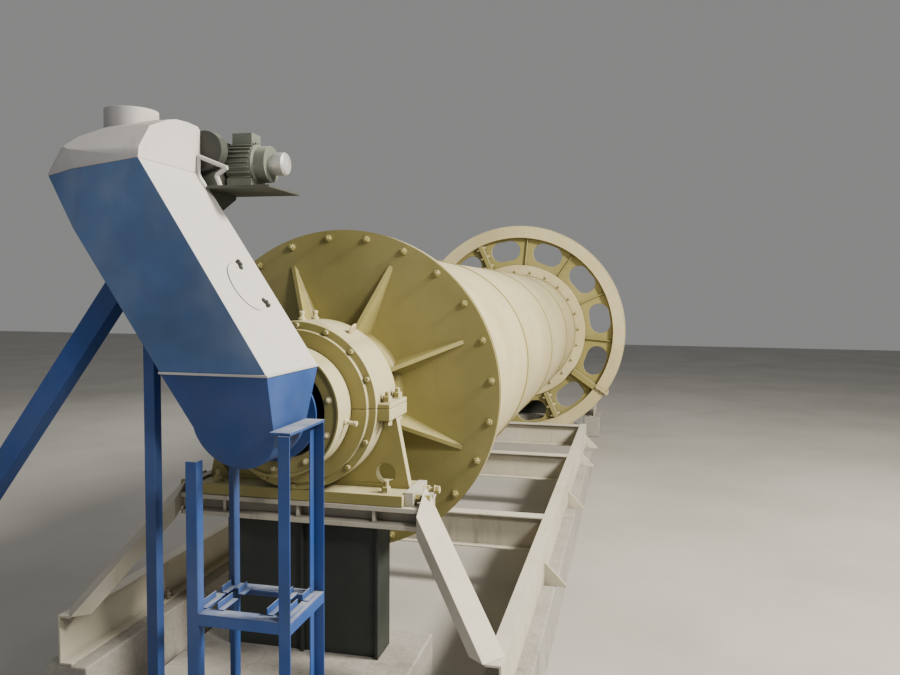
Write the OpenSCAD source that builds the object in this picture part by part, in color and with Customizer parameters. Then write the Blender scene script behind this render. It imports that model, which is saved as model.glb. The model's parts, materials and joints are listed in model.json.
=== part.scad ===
// Ball mill with its feeder: a horizontal drum on two hollow trunnions, turned by a girth gear.
// The drum axis runs along Y. The origin lies on the ground below the feed-end bearing.

/* [Layout] */
// Distance between the centres of the two main bearings
bearing_span = 8330; // [7600:10:9000]
// Height of the drum axis above the ground
axis_height = 1583; // [1570:1:1800]
// Height of the concrete plinths under the steel frame
plinth_h = 300; // [200:10:320]

/* [Drum] */
// Outer radius of the drum shell
shell_r = 820; // [700:10:860]
// Wall of the drum shell
shell_wall = 20; // [12:1:40]
// Thickness of each bolted flange and head plate rim
flange_t = 42; // [30:1:60]
// Radius of the feed-end flange and head
head_rim_r = 920; // [890:5:1000]
// Distance from a bearing centre to the outer face of the head
head_offset = 478; // [460:2:560]
// Rise of the head plate from its rim to its hub
head_cone = 30; // [10:1:60]
// Number of stiffening ribs on each head
rib_count = 8; // [6:1:10]
// Thickness of a head rib
rib_t = 22; // [14:1:40]
// Radius at which a head rib runs out
rib_tip_r = 772; // [600:5:780]
// Outer radius of the hub of a head
hub_r = 350; // [335:1:380]
// Height of the hub and of the ribs where they meet it
hub_h = 190; // [120:5:200]

/* [Trunnions] */
// Radius of the journal that runs in the bearing
journal_r = 300; // [260:1:320]
// Radius of the hole through the trunnion
trunnion_bore_r = 232; // [200:1:240]
// Distance from the bearing centre to the end face of the trunnion
trunnion_reach = 361; // [340:1:400]
// Outer radius of the collar that seats the trunnion on the hub
collar_r = 338; // [330:1:350]
// Thickness of that collar
collar_t = 30; // [20:1:50]
// Length of the ring round the end of the trunnion
end_ring_w = 146; // [80:1:150]
// Wall of that ring
end_ring_wall = 12; // [6:1:20]
// How far that ring stands out past the end face
end_ring_lip = 28; // [16:1:40]
// Thickness of the plate on the end face
end_plate_t = 14; // [8:1:14]

/* [Main bearings] */
// Outer radius of the bearing housing
housing_r = 422; // [400:1:450]
// Length of the bearing housing along the axis
housing_w = 337; // [280:1:360]
// Radius of the seal ring on each face of the housing
seal_r = 382; // [350:1:395]
// Thickness of the seal ring
seal_t = 22; // [10:1:30]
// Running gap between the journal and the housing
journal_gap = 0.3; // [0.2:0.1:1]
// How far the split lugs stand out of the housing
lug_out = 155; // [100:1:170]
// Thickness of each split lug
lug_t = 52; // [30:1:70]
// Half width of the sole plate
sole_half = 600; // [560:5:640]
// Thickness of the sole plate
sole_t = 60; // [30:1:80]
// Depth of the top of the sole plate below the axis
sole_drop = 450; // [440:1:500]
// Radius of the lightening holes in the bearing web
web_hole_r = 50; // [30:1:60]

/* [Bearing supports] */
// Half length of the beam under each bearing
beam_half = 700; // [680:5:760]
// Height of that beam
beam_h = 200; // [150:5:240]
// Width of that beam along the drum
beam_w = 340; // [300:5:400]
// Plate thickness of beams and pedestals
plate_t = 24; // [12:1:40]
// Half width of the pedestal
pedestal_half = 410; // [350:5:450]
// Depth of the pedestal along the drum
pedestal_w = 260; // [200:5:300]
// Width of a raking strut
strut_w = 132; // [80:2:160]
// Thickness of a raking strut
strut_t = 70; // [40:1:90]

/* [Base frame] */
// Distance from the drum plane to the outer side of each rail
rail_out = 1105; // [1080:5:1150]
// Height of the rails and cross-beams
rail_h = 250; // [200:5:300]
// Width of the rail flanges
rail_w = 75; // [60:1:100]
// Thickness of the rail steel
rail_t = 12; // [8:1:16]
// How far the rails reach in front of the feed-end bearing
rail_front = 520; // [450:10:540]
// Distance from the feed-end bearing to the far end of the long rails
rail_far = 5930; // [5000:10:6100]
// Distance from the feed-end bearing to the first cross-beam
cross_first = 1811; // [1500:1:2000]
// Distance between the cross-beams
cross_pitch = 2191; // [1900:1:2300]
// Width of the flange of a cross-beam
cross_w = 110; // [80:5:150]
// Height of the gussets outside the rails
gusset_h = 150; // [100:5:200]
// Reach of the gussets outside the rails
gusset_out = 150; // [100:5:180]

/* [Girth gear] */
// Number of teeth of the girth gear
gear_teeth = 144; // [136:4:144]
// Module of the teeth
gear_module = 20; // [18:1:20]
// Width of the toothed rim
rim_w = 190; // [150:5:200]
// Thickness of the rim under the teeth
rim_t = 52; // [40:1:60]
// Thickness of the web of the gear
web_t = 50; // [30:1:60]
// Radius of the drum flange that carries the gear
gear_flange_r = 970; // [930:5:990]
// Number of holes in the web
web_holes = 12; // [12:6:12]
// Radius of the circle of web holes
web_hole_circle = 1185; // [1180:1:1190]
// Radial size of a web hole
web_hole_h = 272; // [200:2:280]
// Size of a web hole along its circle
web_hole_w = 360; // [300:2:380]
// Thickness of the radial ribs on the web
web_rib_t = 26; // [16:1:40]

/* [Gear guard] */
// Distance from the tips of the teeth to the outside of the guard
guard_gap = 71; // [60:1:90]
// Radial depth of the faces of the guard
guard_lip = 161; // [150:1:170]
// Width of the guard along the drum
guard_w = 234; // [230:1:260]
// Sheet thickness of the guard
guard_sheet = 8; // [5:1:10]
// Angle of the split of the guard below the horizontal
guard_split = 34; // [20:1:40]

/* [Drive] */
// Number of teeth of the enclosed pinion, which sets the place of its shaft
pinion_teeth = 20; // [18:1:22]
// Angle of the pinion below the horizontal
pinion_angle = 30; // [28:1:31]
// Radius of the housing round the pinion
pinion_housing_r = 292; // [270:1:310]
// Width of the drive frame
drive_w = 430; // [400:5:440]
// Height of the drive frame
drive_frame_h = 140; // [100:5:160]
// Height of the plinth under the drive
drive_plinth_h = 200; // [150:5:220]
// Length of the gear reducer along the drum
reducer_l = 500; // [420:5:560]
// Width of the body of the gear reducer
reducer_w = 440; // [400:5:480]
// Height of the gear reducer above its shafts
reducer_rise = 230; // [200:5:260]
// Radius of the coupling guards
coupling_r = 130; // [110:5:150]
// Length of each coupling guard
coupling_l = 230; // [200:5:240]
// Radius of the body of the drive motor
motor_r = 225; // [180:1:240]
// Length of the drive motor
motor_l = 700; // [600:10:740]

/* [Feeder casing] */
// Lean of the casing from the vertical
casing_lean = 32; // [28:1:34]
// Height of the lower end of the casing above the drum axis
casing_low = 235; // [225:1:260]
// Height of the upper end of the casing above the drum axis
casing_high = 1080; // [1000:5:1100]
// Left side of the casing at its lower end, from the drum plane
casing_left = 234; // [200:1:250]
// Right side of the casing at its lower end, from the drum plane
casing_right = 235; // [225:1:250]
// Front face of the feeder, in front of the feed-end bearing
feeder_front = 962; // [950:2:1000]
// Rear of the casing at its lower end, in front of the bearing
casing_rear = 447; // [440:1:460]
// Rear of the casing at its upper end, in front of the bearing
head_rear = 492; // [480:1:520]
// Height of the feeder head above the casing
feeder_head_h = 230; // [200:5:260]

/* [Feeder boot and spout] */
// Radius of the round bottom of the boot
boot_r = 180; // [170:1:190]
// Sideways offset of the boot from the drum plane
boot_shift = 35; // [25:1:40]
// Slope of the front and rear of the boot, run over height
boot_taper = 0.42; // [0.3:0.01:0.45]
// Outer radius of the spout
spout_r = 140; // [120:1:143]
// Wall of the spout
spout_wall = 6; // [4:1:10]
// Radius of the dust disc on the spout
disc_r = 222; // [200:1:225]

/* [Feeder supports] */
// Leg width of the stand angles
leg_w = 58; // [40:1:60]
// Thickness of the stand angles
leg_t = 7; // [5:1:10]
// Outer left side of the stand from the drum plane
stand_left = 119; // [110:1:125]
// Outer right side of the stand from the drum plane
stand_right = 320; // [310:1:340]
// Height of the shelf in the stand above the ground
shelf_z = 830; // [600:10:900]
// Width of the left post
post_w = 52; // [40:1:70]
// Distance of the left post from the drum plane
post_x = 395; // [380:1:420]
// Width of the raking brace
brace_w = 88; // [60:1:100]
// Angle of the raking brace from the vertical
brace_lean = 36.8; // [30:0.1:40]

/* [Feeder drive] */
// Radius of the feeder motor
feeder_motor_r = 92; // [80:1:100]
// Length of the feeder motor
feeder_motor_l = 340; // [300:5:380]
// Height of the motor plate above the drum axis
motor_plate_z = 1030; // [1020:1:1040]
// Thickness of the motor plate
motor_plate_t = 12; // [8:1:16]
// Depth of the belt guard
belt_guard_w = 60; // [40:1:80]
// Gap between the belt guard and the feeder head
belt_gap = 0.8; // [0.5:0.1:5]

/* [Hidden] */

cream = [0.86, 0.80, 0.62];
olive = [0.62, 0.56, 0.34];
blue = [0.13, 0.27, 0.58];
pale = [0.82, 0.81, 0.78];
dark = [0.16, 0.18, 0.17];
grey = [0.45, 0.47, 0.46];
concrete = [0.55, 0.54, 0.51];

fine = 120;
round_fn = 64;
big = 20000;
seat = 0.3;
weld_gap = 0.6;

// Stations along the drum
shell_y0 = head_offset + flange_t;
shell_y1 = bearing_span - head_offset - flange_t - web_t;
gear_mid = shell_y1 + web_t / 2;

// Levels
rail_z = plinth_h;
rail_top = rail_z + rail_h;
sole_top = axis_height - sole_drop;
beam_top = sole_top - sole_t;
beam_low = beam_top - beam_h;
rail_in = rail_out - rail_w;

// Gear geometry
pitch_r = gear_teeth * gear_module / 2;
tip_r = pitch_r + gear_module;
root_r = pitch_r - 1.25 * gear_module;
rim_in_r = root_r - rim_t;
guard_r = tip_r + guard_gap;
guard_lip_r = guard_r - guard_lip;
tooth_angle = 360 / gear_teeth;

// Draws flat children, laid out in X and Z about the drum axis, from y over a length
module along_y(y, length) {
    translate([0, y + length, axis_height]) rotate([90, 0, 0]) linear_extrude(length) children();
}

// Draws flat children, laid out in Y and Z above the ground, from x over a width
module along_x(x, width) {
    translate([x, 0, 0]) rotate([90, 0, 90]) linear_extrude(width) children();
}

// Turns a profile of radius and Y about the drum axis
module revolve(turn = 360, fn = fine) {
    translate([0, 0, axis_height]) rotate([-90, 0, 0]) rotate_extrude(angle = turn, $fn = fn) children();
}

// Repeats children mirrored at the discharge end
module at_far() {
    translate([0, bearing_span, 0]) mirror([0, 1, 0]) children();
}

// Repeats children on both sides of the drum plane
module both_sides() {
    children();
    mirror([1, 0, 0]) children();
}

// A box given by its lowest and highest corners
module block(low, high) {
    translate(low) cube(high - low);
}

// Foundations

rail_plinth_w = 240;
rail_plinth_out = rail_out - rail_w / 2 + rail_plinth_w / 2;
rail_plinth_in = rail_plinth_out - rail_plinth_w;
module rail_plinth() {
    block([rail_plinth_in, -rail_front, 0], [rail_plinth_out, rail_far, plinth_h]);
}

pedestal_plinth_half = 600;
pedestal_plinth_w = 560;
// The plinth runs from behind the pedestal out to a distance in front of the bearing
module pedestal_plinth(front) {
    block([-pedestal_plinth_half, -front, 0], [pedestal_plinth_half, pedestal_plinth_w / 2, plinth_h]);
}

far_rail_in = 220;
module far_rail_plinth() {
    block([rail_plinth_in, -rail_front, 0], [rail_plinth_out, far_rail_in, plinth_h]);
}

module rail_plinths() color(concrete) both_sides() rail_plinth();
module near_plinth() color(concrete) pedestal_plinth(feeder_front + 60);
module far_plinths() color(concrete) at_far() {
    pedestal_plinth(pedestal_plinth_w / 2);
    both_sides() far_rail_plinth();
}

// Base frame: channels with their backs outwards, cross-beams between them and gussets outside

module channel(y0, y1) {
    difference() {
        block([rail_in, y0, rail_z], [rail_out, y1, rail_top]);
        block([rail_in - 1, y0 - 1, rail_z + rail_t], [rail_out - rail_t, y1 + 1, rail_top - rail_t]);
    }
}

gusset_t = 14;
gusset_stations = [1130, 2990, 4680, 5700];
module gusset(y) {
    translate([rail_out, y + gusset_t / 2, rail_z]) rotate([90, 0, 0]) linear_extrude(gusset_t)
        polygon([[0, 0], [gusset_out, 0], [gusset_out, 12], [12, gusset_h], [0, gusset_h]]);
}

module long_rail() {
    channel(-rail_front, rail_far);
    for (y = gusset_stations) gusset(y * rail_far / 5930);
}

module rail_left() color(cream) mirror([1, 0, 0]) long_rail();
module rail_right() color(cream) long_rail();
module far_rails() color(cream) at_far() both_sides() channel(-rail_front, far_rail_in);

// A cross-beam is a wide-flange beam that ends against the inner edges of the rail flanges
module cross_beam(y) {
    for (z = [rail_z, rail_top - rail_t])
        block([-rail_in, y - cross_w / 2, z], [rail_in, y + cross_w / 2, z + rail_t]);
    block([-rail_in, y - rail_t / 2, rail_z], [rail_in, y + rail_t / 2, rail_top]);
}

module cross_beams() color(cream) {
    for (k = [0:1]) cross_beam(cross_first + k * cross_pitch);
    cross_beam(rail_far - cross_w);
}

// Bearing supports: box pedestal, deep beam and raking struts

stiffener_t = 16;
stiffener_out = 50;
module pedestal() {
    difference() {
        block([-pedestal_half, -pedestal_w / 2, plinth_h], [pedestal_half, pedestal_w / 2, beam_low]);
        block([-pedestal_half + plate_t, -pedestal_w / 2 + plate_t, plinth_h - 1],
              [pedestal_half - plate_t, pedestal_w / 2 - plate_t, beam_low + 1]);
    }
    for (side = [-1, 1], x = [-pedestal_half, -stiffener_t / 2, pedestal_half - stiffener_t])
        translate([x, side * pedestal_w / 2, 0]) mirror([0, side < 0 ? 1 : 0, 0])
            block([0, 0, plinth_h], [stiffener_t, stiffener_out, beam_low]);
}

stop_w = 30;
stop_h = 84;
module bearing_beam() {
    block([-beam_half, -beam_w / 2, beam_top - plate_t], [beam_half, beam_w / 2, beam_top]);
    block([-beam_half, -beam_w / 2, beam_low], [beam_half, beam_w / 2, beam_low + plate_t]);
    for (side = [-1, 1])
        block([-beam_half, side * beam_w / 4 - plate_t / 2, beam_low],
              [beam_half, side * beam_w / 4 + plate_t / 2, beam_top]);
    both_sides() for (x = [0, pedestal_half - stiffener_t / 2, beam_half - stiffener_t / 2])
        block([x - stiffener_t / 2, -beam_w / 2 + 20, beam_low], [x + stiffener_t / 2, beam_w / 2 - 20, beam_top]);
    both_sides() translate([sole_half + 12, 0, beam_top])
        block([0, -beam_w / 2 + 30, 0], [stop_w, beam_w / 2 - 30, stop_h]);
}

// A strut runs from the outer end of the beam down to the end of the rail
strut_top = [beam_half - 10, -beam_w / 2 + 40, beam_top];
strut_foot = [rail_out - rail_w / 2, -rail_front + 70, rail_top];
module strut() {
    run = strut_foot - strut_top;
    turn = atan2(run[1], run[0]);
    flat = norm([run[0], run[1]]);
    fall = atan2(-run[2], flat);
    difference() {
        translate(strut_top) rotate([0, fall, turn])
            block([-200, -strut_w / 2, -strut_t / 2], [norm(run) + 200, strut_w / 2, strut_t / 2]);
        block([-big, -big, -big], [big, big, rail_top]);
        block([-big, -big, beam_top - 10], [big, big, big]);
        block([-big, -big, -big], [beam_half, big, big]);
    }
}

module struts() both_sides() strut();

module near_pedestal() color(dark) pedestal();
module near_beam() color(cream) bearing_beam();
module near_struts() color(cream) struts();
module far_pedestal() color(dark) at_far() pedestal();
module far_beam() color(cream) at_far() bearing_beam();
module far_struts() color(cream) at_far() struts();

// Main bearings: a split housing, with the lower half on a webbed foot

foot_core = 120;
foot_rib_w = 290;
foot_rib_t = 34;
lug_w = 280;
sole_w = 330;
foot_half = 520;
module housing_half(up) {
    lug_low = up ? 0 : -lug_t;
    difference() {
        union() {
            along_y(-housing_w / 2, housing_w) intersection() {
                circle(housing_r, $fn = fine);
                translate([-housing_r, up ? 0 : -housing_r]) square([2 * housing_r, housing_r]);
            }
            along_y(-housing_w / 2 - seal_t, housing_w + 2 * seal_t) intersection() {
                circle(seal_r, $fn = fine);
                translate([-seal_r, up ? 0 : -seal_r]) square([2 * seal_r, seal_r]);
            }
            along_y(-lug_w / 2, lug_w) both_sides()
                translate([housing_r - 60, lug_low]) square([lug_out + 60, lug_t]);
            if (!up) bearing_foot();
        }
        along_y(-housing_w, 2 * housing_w) circle(journal_r + journal_gap, $fn = fine);
    }
}

module bearing_foot() {
    along_y(-foot_core / 2, foot_core) difference() {
        polygon([[-foot_half, 0], [foot_half, 0], [sole_half - 20, -sole_drop],
                 [-sole_half + 20, -sole_drop]]);
        both_sides() translate([405, -355]) circle(web_hole_r, $fn = round_fn);
    }
    along_y(-foot_rib_w / 2, foot_rib_w) both_sides()
        polygon([[foot_half - foot_rib_t, -1], [foot_half, -1], [sole_half - 20, -sole_drop],
                 [sole_half - 20 - foot_rib_t, -sole_drop]]);
    along_y(-foot_rib_w / 2, foot_rib_w) translate([-foot_rib_t / 2, -sole_drop])
        square([foot_rib_t, sole_drop - housing_r + 20]);
    block([-sole_half, -sole_w / 2, beam_top], [sole_half, sole_w / 2, sole_top]);
}

module near_bearing_base() color(olive) housing_half(false);
module near_bearing_cap() color(olive) housing_half(true);
module far_bearing_base() color(olive) at_far() housing_half(false);
module far_bearing_cap() color(olive) at_far() housing_half(true);

// Drum: flanged shell, ribbed heads and hollow trunnions

module drum_shell() color(cream) revolve() polygon([
    [shell_r - shell_wall, shell_y0], [head_rim_r, shell_y0], [head_rim_r, shell_y0 + flange_t],
    [shell_r, shell_y0 + flange_t], [shell_r, shell_y1 - flange_t], [gear_flange_r, shell_y1 - flange_t],
    [gear_flange_r, shell_y1], [shell_r - shell_wall, shell_y1]]);

module head(rim_r) {
    face = head_offset;
    bore = journal_r + seat;
    revolve() polygon([
        [bore, face - hub_h], [hub_r, face - hub_h], [hub_r, face - head_cone], [rib_tip_r, face],
        [rim_r, face], [rim_r, face + flange_t], [bore, face + flange_t]]);
    for (k = [0:rib_count - 1])
        translate([0, 0, axis_height]) rotate([0, -(k + 0.5) * 360 / rib_count, 0])
            translate([0, 0, -rib_t / 2]) linear_extrude(rib_t)
                polygon([[hub_r - 20, face], [hub_r - 20, face - hub_h], [hub_r + 40, face - hub_h],
                         [rib_tip_r, face - 12], [rib_tip_r, face]]);
}

module near_head() color(olive) head(head_rim_r);
module far_head() color(olive) at_far() head(gear_flange_r);

module trunnion() {
    seat_y = head_offset - hub_h;
    revolve() polygon([
        [trunnion_bore_r, -trunnion_reach], [journal_r, -trunnion_reach], [journal_r, seat_y - collar_t],
        [collar_r, seat_y - collar_t], [collar_r, seat_y], [journal_r, seat_y],
        [journal_r, head_offset + flange_t], [trunnion_bore_r, head_offset + flange_t]]);
}

module end_ring() {
    inner = journal_r + seat;
    outer = inner + end_ring_wall;
    ring_y = -trunnion_reach - end_ring_lip;
    revolve() polygon([
        [inner, ring_y], [outer, ring_y], [outer, ring_y + end_ring_w], [inner, ring_y + end_ring_w],
        [inner, -trunnion_reach], [trunnion_bore_r + 4, -trunnion_reach],
        [trunnion_bore_r + 4, -trunnion_reach - end_plate_t], [inner, -trunnion_reach - end_plate_t]]);
}

module near_trunnion() color(cream) trunnion();
module far_trunnion() color(cream) at_far() trunnion();
module near_end_ring() color(cream) end_ring();
module far_end_ring() color(cream) at_far() end_ring();

// Girth gear: a toothed rim on a holed web, bolted between the shell flange and the head

// Half angles of a tooth at its root, pitch and tip
root_half = tooth_angle * 0.345;
pitch_half = tooth_angle * 0.235;
tip_half = tooth_angle * 0.115;
function polar(r, a) = [r * cos(a), r * sin(a)];
function tooth(a) = [
    polar(root_r, a - root_half), polar(pitch_r, a - pitch_half), polar(tip_r, a - tip_half),
    polar(tip_r, a + tip_half), polar(pitch_r, a + pitch_half), polar(root_r, a + root_half)];

module web_hole() {
    r = web_hole_h / 2;
    half = web_hole_w / 2 - r;
    for (s = [-1, 1]) translate([web_hole_circle, s * half]) circle(r, $fn = round_fn);
    translate([web_hole_circle - r, -half]) square([2 * r, 2 * half]);
}

module girth_gear() color(cream) along_y(gear_mid - rim_w / 2, rim_w) difference() {
    polygon([for (k = [0:gear_teeth - 1]) each tooth(k * tooth_angle)]);
    circle(rim_in_r, $fn = fine);
}

web_rib_out = 60;
web_rib_angle = 25;
module gear_web() color(cream) {
    web_r = rim_in_r - weld_gap;
    along_y(shell_y1, web_t) difference() {
        circle(web_r, $fn = fine);
        circle(shell_r - shell_wall, $fn = fine);
        for (k = [0:web_holes - 1]) rotate(10 + k * 360 / web_holes) web_hole();
    }
    for (k = [0:5], side = [-1, 1]) {
        y = side < 0 ? shell_y1 - web_rib_out : shell_y1 + web_t;
        along_y(y, web_rib_out) intersection() {
            circle(web_r, $fn = fine);
            rotate(web_rib_angle + k * 60)
                translate([gear_flange_r + 8, -web_rib_t / 2]) square([rim_in_r - gear_flange_r, web_rib_t]);
        }
    }
}

// Gear guard: a channel-shaped ring in two halves, bolted through radial flanges

guard_y = gear_mid - guard_w / 2;
flange_bar = 12;
guard_flange_out = 45;
module guard_half(start) {
    inner = guard_r - guard_sheet;
    translate([0, 0, axis_height]) rotate([0, -start, 0]) translate([0, 0, -axis_height]) {
        revolve(-180) polygon([
            [guard_lip_r, guard_y], [guard_r, guard_y], [guard_r, guard_y + guard_w],
            [guard_lip_r, guard_y + guard_w], [guard_lip_r, guard_y + guard_w - guard_sheet],
            [inner, guard_y + guard_w - guard_sheet], [inner, guard_y + guard_sheet],
            [guard_lip_r, guard_y + guard_sheet]]);
        both_sides() translate([0, guard_y, axis_height]) {
            block([guard_r - 1, 0, 0], [guard_r + guard_flange_out, guard_w, flange_bar]);
            for (y = [-guard_flange_out, guard_w])
                block([guard_lip_r, y, 0], [guard_r + guard_flange_out, y + guard_flange_out, flange_bar]);
        }
    }
}

guard_foot_x = 760;
guard_foot_w = 120;
module guard_foot() {
    difference() {
        block([guard_foot_x - guard_foot_w / 2, guard_y + 30, 0],
              [guard_foot_x + guard_foot_w / 2, guard_y + guard_w - 30, axis_height]);
        along_y(guard_y, guard_w) circle(guard_r - 1, $fn = fine);
    }
}

module gear_guard_upper() color(cream) guard_half(-guard_split);
module gear_guard_lower() color(cream) {
    guard_half(180 - guard_split);
    both_sides() intersection() {
        guard_foot();
        block([0, guard_y, 0], [big, guard_y + guard_w, axis_height - pitch_r * 0.8]);
    }
}

// Drive: pinion housing, bearings, reducer and motor in line beside the drum

pinion_r = pinion_teeth * gear_module / 2;
pinion_x = -(pitch_r + pinion_r) * cos(pinion_angle);
pinion_z = axis_height - (pitch_r + pinion_r) * sin(pinion_angle);
drive_top = drive_plinth_h + drive_frame_h;
pinion_block_w = 160;
front_block_y = guard_y - pinion_block_w;
reducer_y = front_block_y - coupling_l - reducer_l;
drive_motor_y = reducer_y - coupling_l - motor_l;

module shaft_line(y, length) {
    translate([pinion_x, y + length, pinion_z]) rotate([90, 0, 0]) linear_extrude(length) children();
}

module pinion_housing() color(cream) difference() {
    union() {
        shaft_line(guard_y, guard_w) circle(pinion_housing_r, $fn = round_fn);
        block([pinion_x - pinion_housing_r, guard_y, drive_top],
              [pinion_x + 60, guard_y + guard_w, pinion_z]);
    }
    along_y(guard_y - 1, guard_w + 2) circle(guard_r + weld_gap, $fn = fine);
}

module pillow_block(y) {
    width = pinion_block_w;
    shaft_line(y, width) circle(120, $fn = round_fn);
    block([pinion_x - 190, y + 20, drive_top], [pinion_x + 190, y + width - 20, drive_top + 40]);
    block([pinion_x - 120, y, drive_top], [pinion_x + 120, y + width, pinion_z]);
}

module pinion_bearings() color(olive) {
    pillow_block(front_block_y);
    pillow_block(guard_y + guard_w);
}

module coupling_guard(y) {
    shaft_line(y, coupling_l) circle(coupling_r, $fn = round_fn);
    block([pinion_x - coupling_r, y, drive_top], [pinion_x + coupling_r, y + coupling_l, pinion_z]);
}

module coupling_guards() color(blue) {
    coupling_guard(reducer_y + reducer_l);
    coupling_guard(drive_motor_y + motor_l);
}

module reducer() color(grey) {
    low = drive_top;
    half = reducer_w / 2;
    y1 = reducer_y + reducer_l;
    block([pinion_x - half - 40, reducer_y, low], [pinion_x + half + 40, y1, low + 36]);
    block([pinion_x - half, reducer_y + 40, low], [pinion_x + half, y1 - 40, pinion_z + reducer_rise]);
    block([pinion_x - half - 30, reducer_y + 20, pinion_z - 18],
          [pinion_x + half + 30, y1 - 20, pinion_z + 18]);
    shaft_line(reducer_y, reducer_l) circle(coupling_r + 20, $fn = round_fn);
}

module drive_motor() color(grey) {
    shaft_line(drive_motor_y + 120, motor_l - 240) circle(motor_r, $fn = round_fn);
    shaft_line(drive_motor_y, 120) circle(motor_r - 12, $fn = round_fn);
    shaft_line(drive_motor_y + motor_l - 120, 120) circle(motor_r - 20, $fn = round_fn);
    block([pinion_x - motor_r, drive_motor_y + 160, drive_top],
          [pinion_x + motor_r, drive_motor_y + motor_l - 160, drive_top + 110]);
    block([pinion_x - 90, drive_motor_y + 260, pinion_z],
          [pinion_x + 90, drive_motor_y + 460, pinion_z + motor_r + 90]);
}

drive_y0 = drive_motor_y - 60;
drive_y1 = guard_y + guard_w + pinion_block_w + 40;
module drive_frame() color(cream) {
    for (x = [-drive_w / 2, drive_w / 2 - 70])
        block([pinion_x + x, drive_y0, drive_plinth_h], [pinion_x + x + 70, drive_y1, drive_top - 16]);
    block([pinion_x - drive_w / 2, drive_y0, drive_top - 16], [pinion_x + drive_w / 2, drive_y1, drive_top]);
}
module drive_plinth() color(concrete)
    block([pinion_x - drive_w / 2, drive_y0, 0], [-rail_plinth_out - seat, drive_y1, drive_plinth_h]);

// Feeder: a leaning casing with a chamfered head, a tapered boot and a spout into the trunnion

lean_run = tan(casing_lean);
function wall_x(x0, z) = x0 - (z - casing_low) * lean_run;
head_left = wall_x(-casing_left, casing_high);
head_right = wall_x(casing_right, casing_high);

module feeder_casing() color(blue) intersection() {
    along_y(-feeder_front, feeder_front) polygon([
        [-casing_left, casing_low], [casing_right, casing_low], [head_right, casing_high],
        [head_left, casing_high]]);
    along_x(-big / 2, big) polygon([
        [-feeder_front, axis_height + casing_low], [-casing_rear, axis_height + casing_low],
        [-head_rear, axis_height + casing_high], [-feeder_front, axis_height + casing_high]]);
}

head_top = casing_high + feeder_head_h;
inlet_r = 112;
inlet_wall = 10;
inlet_h = 90;
inlet_depth = 110;
inlet_x = (head_left + head_right) / 2 + 20;
inlet_place = [inlet_x, -(feeder_front + head_rear) / 2, axis_height + head_top - 60];
module feeder_head() color(pale) difference() {
    union() {
        head_hood();
        translate(inlet_place) cylinder(r = inlet_r, h = inlet_h, $fn = round_fn);
        translate(inlet_place + [0, 0, inlet_h - 12]) cylinder(r = inlet_r + 40, h = 12, $fn = round_fn);
    }
    translate(inlet_place + [0, 0, inlet_h - inlet_depth])
        cylinder(r = inlet_r - inlet_wall, h = inlet_depth + 1, $fn = round_fn);
}

module head_hood() {
    intersection() {
        along_y(-feeder_front, feeder_front) polygon([
            [head_left + 8, casing_high], [head_right - 8, casing_high], [head_right - 8, head_top],
            [head_left + 160, head_top - 90], [head_left + 80, head_top - 150]]);
        along_x(-big / 2, big) translate([0, axis_height]) polygon([
            [-feeder_front, casing_high], [-head_rear, casing_high], [-head_rear, head_top - 90],
            [-head_rear - 60, head_top - 20], [-head_rear - 150, head_top],
            [-feeder_front + 170, head_top - 10], [-feeder_front + 90, head_top - 60],
            [-feeder_front, casing_high + 22]]);
        linear_extrude(big) polygon([
            [head_right, -head_rear], [head_left, -head_rear], [head_left, -feeder_front + 110],
            [head_left + 140, -feeder_front], [head_right, -feeder_front]]);
    }
}

spout_y0 = -560;
spout_len = 430;
module feeder_boot() color(blue) difference() {
    union() {
        boot_wedge() {
            polygon([[-casing_left, casing_low], [casing_right, casing_low], [boot_shift + boot_r, 0],
                     [boot_shift + 0.8 * boot_r, -boot_r / 2], [boot_shift - 0.8 * boot_r, -boot_r / 2],
                     [boot_shift - boot_r, 0]]);
        }
        boot_wedge() translate([boot_shift, 0]) circle(boot_r, $fn = round_fn);
    }
    along_y(spout_y0, spout_len) circle(spout_r + seat, $fn = round_fn);
}

// The part of a profile that lies between the tapered front and rear of the boot
module boot_wedge() {
    fall = casing_low + boot_r;
    intersection() {
        along_y(-feeder_front, feeder_front) children();
        along_x(-big / 2, big) translate([0, axis_height]) polygon([
            [-feeder_front, casing_low], [-casing_rear, casing_low],
            [-casing_rear - boot_taper * 0.86 * fall, -boot_r], [-feeder_front + boot_taper * fall, -boot_r]]);
    }
}

disc_y = -438;
module feed_spout() color(blue) {
    along_y(spout_y0, spout_len) difference() {
        circle(spout_r, $fn = round_fn);
        circle(spout_r - spout_wall, $fn = round_fn);
    }
    along_y(disc_y, 12) difference() {
        circle(disc_r, $fn = round_fn);
        circle(spout_r - 1, $fn = round_fn);
    }
}

// Feeder stand: four angle legs, a ledge beside the boot and a shelf

stand_front = -942;
stand_rear = -582;
module leg_profile() {
    square([leg_w, leg_t]);
    square([leg_t, leg_w]);
}

module legs() {
    for (x = [0, 1], y = [0, 1])
        translate([x == 0 ? -stand_left : stand_right, y == 0 ? stand_front : stand_rear])
            mirror([x, 0]) mirror([0, y]) leg_profile();
}

module feeder_stand() color(blue) {
    difference() {
        translate([0, 0, plinth_h]) linear_extrude(axis_height - plinth_h - 8) legs();
        along_y(-big / 2, big) translate([boot_shift, 0]) circle(boot_r + seat, $fn = round_fn);
        block([-big, -big, axis_height - boot_r / 2], [0, big, big]);
    }
    block([boot_shift + boot_r + 16, stand_front, axis_height - 8],
          [stand_right + 6, stand_rear, axis_height + 4]);
}

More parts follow.
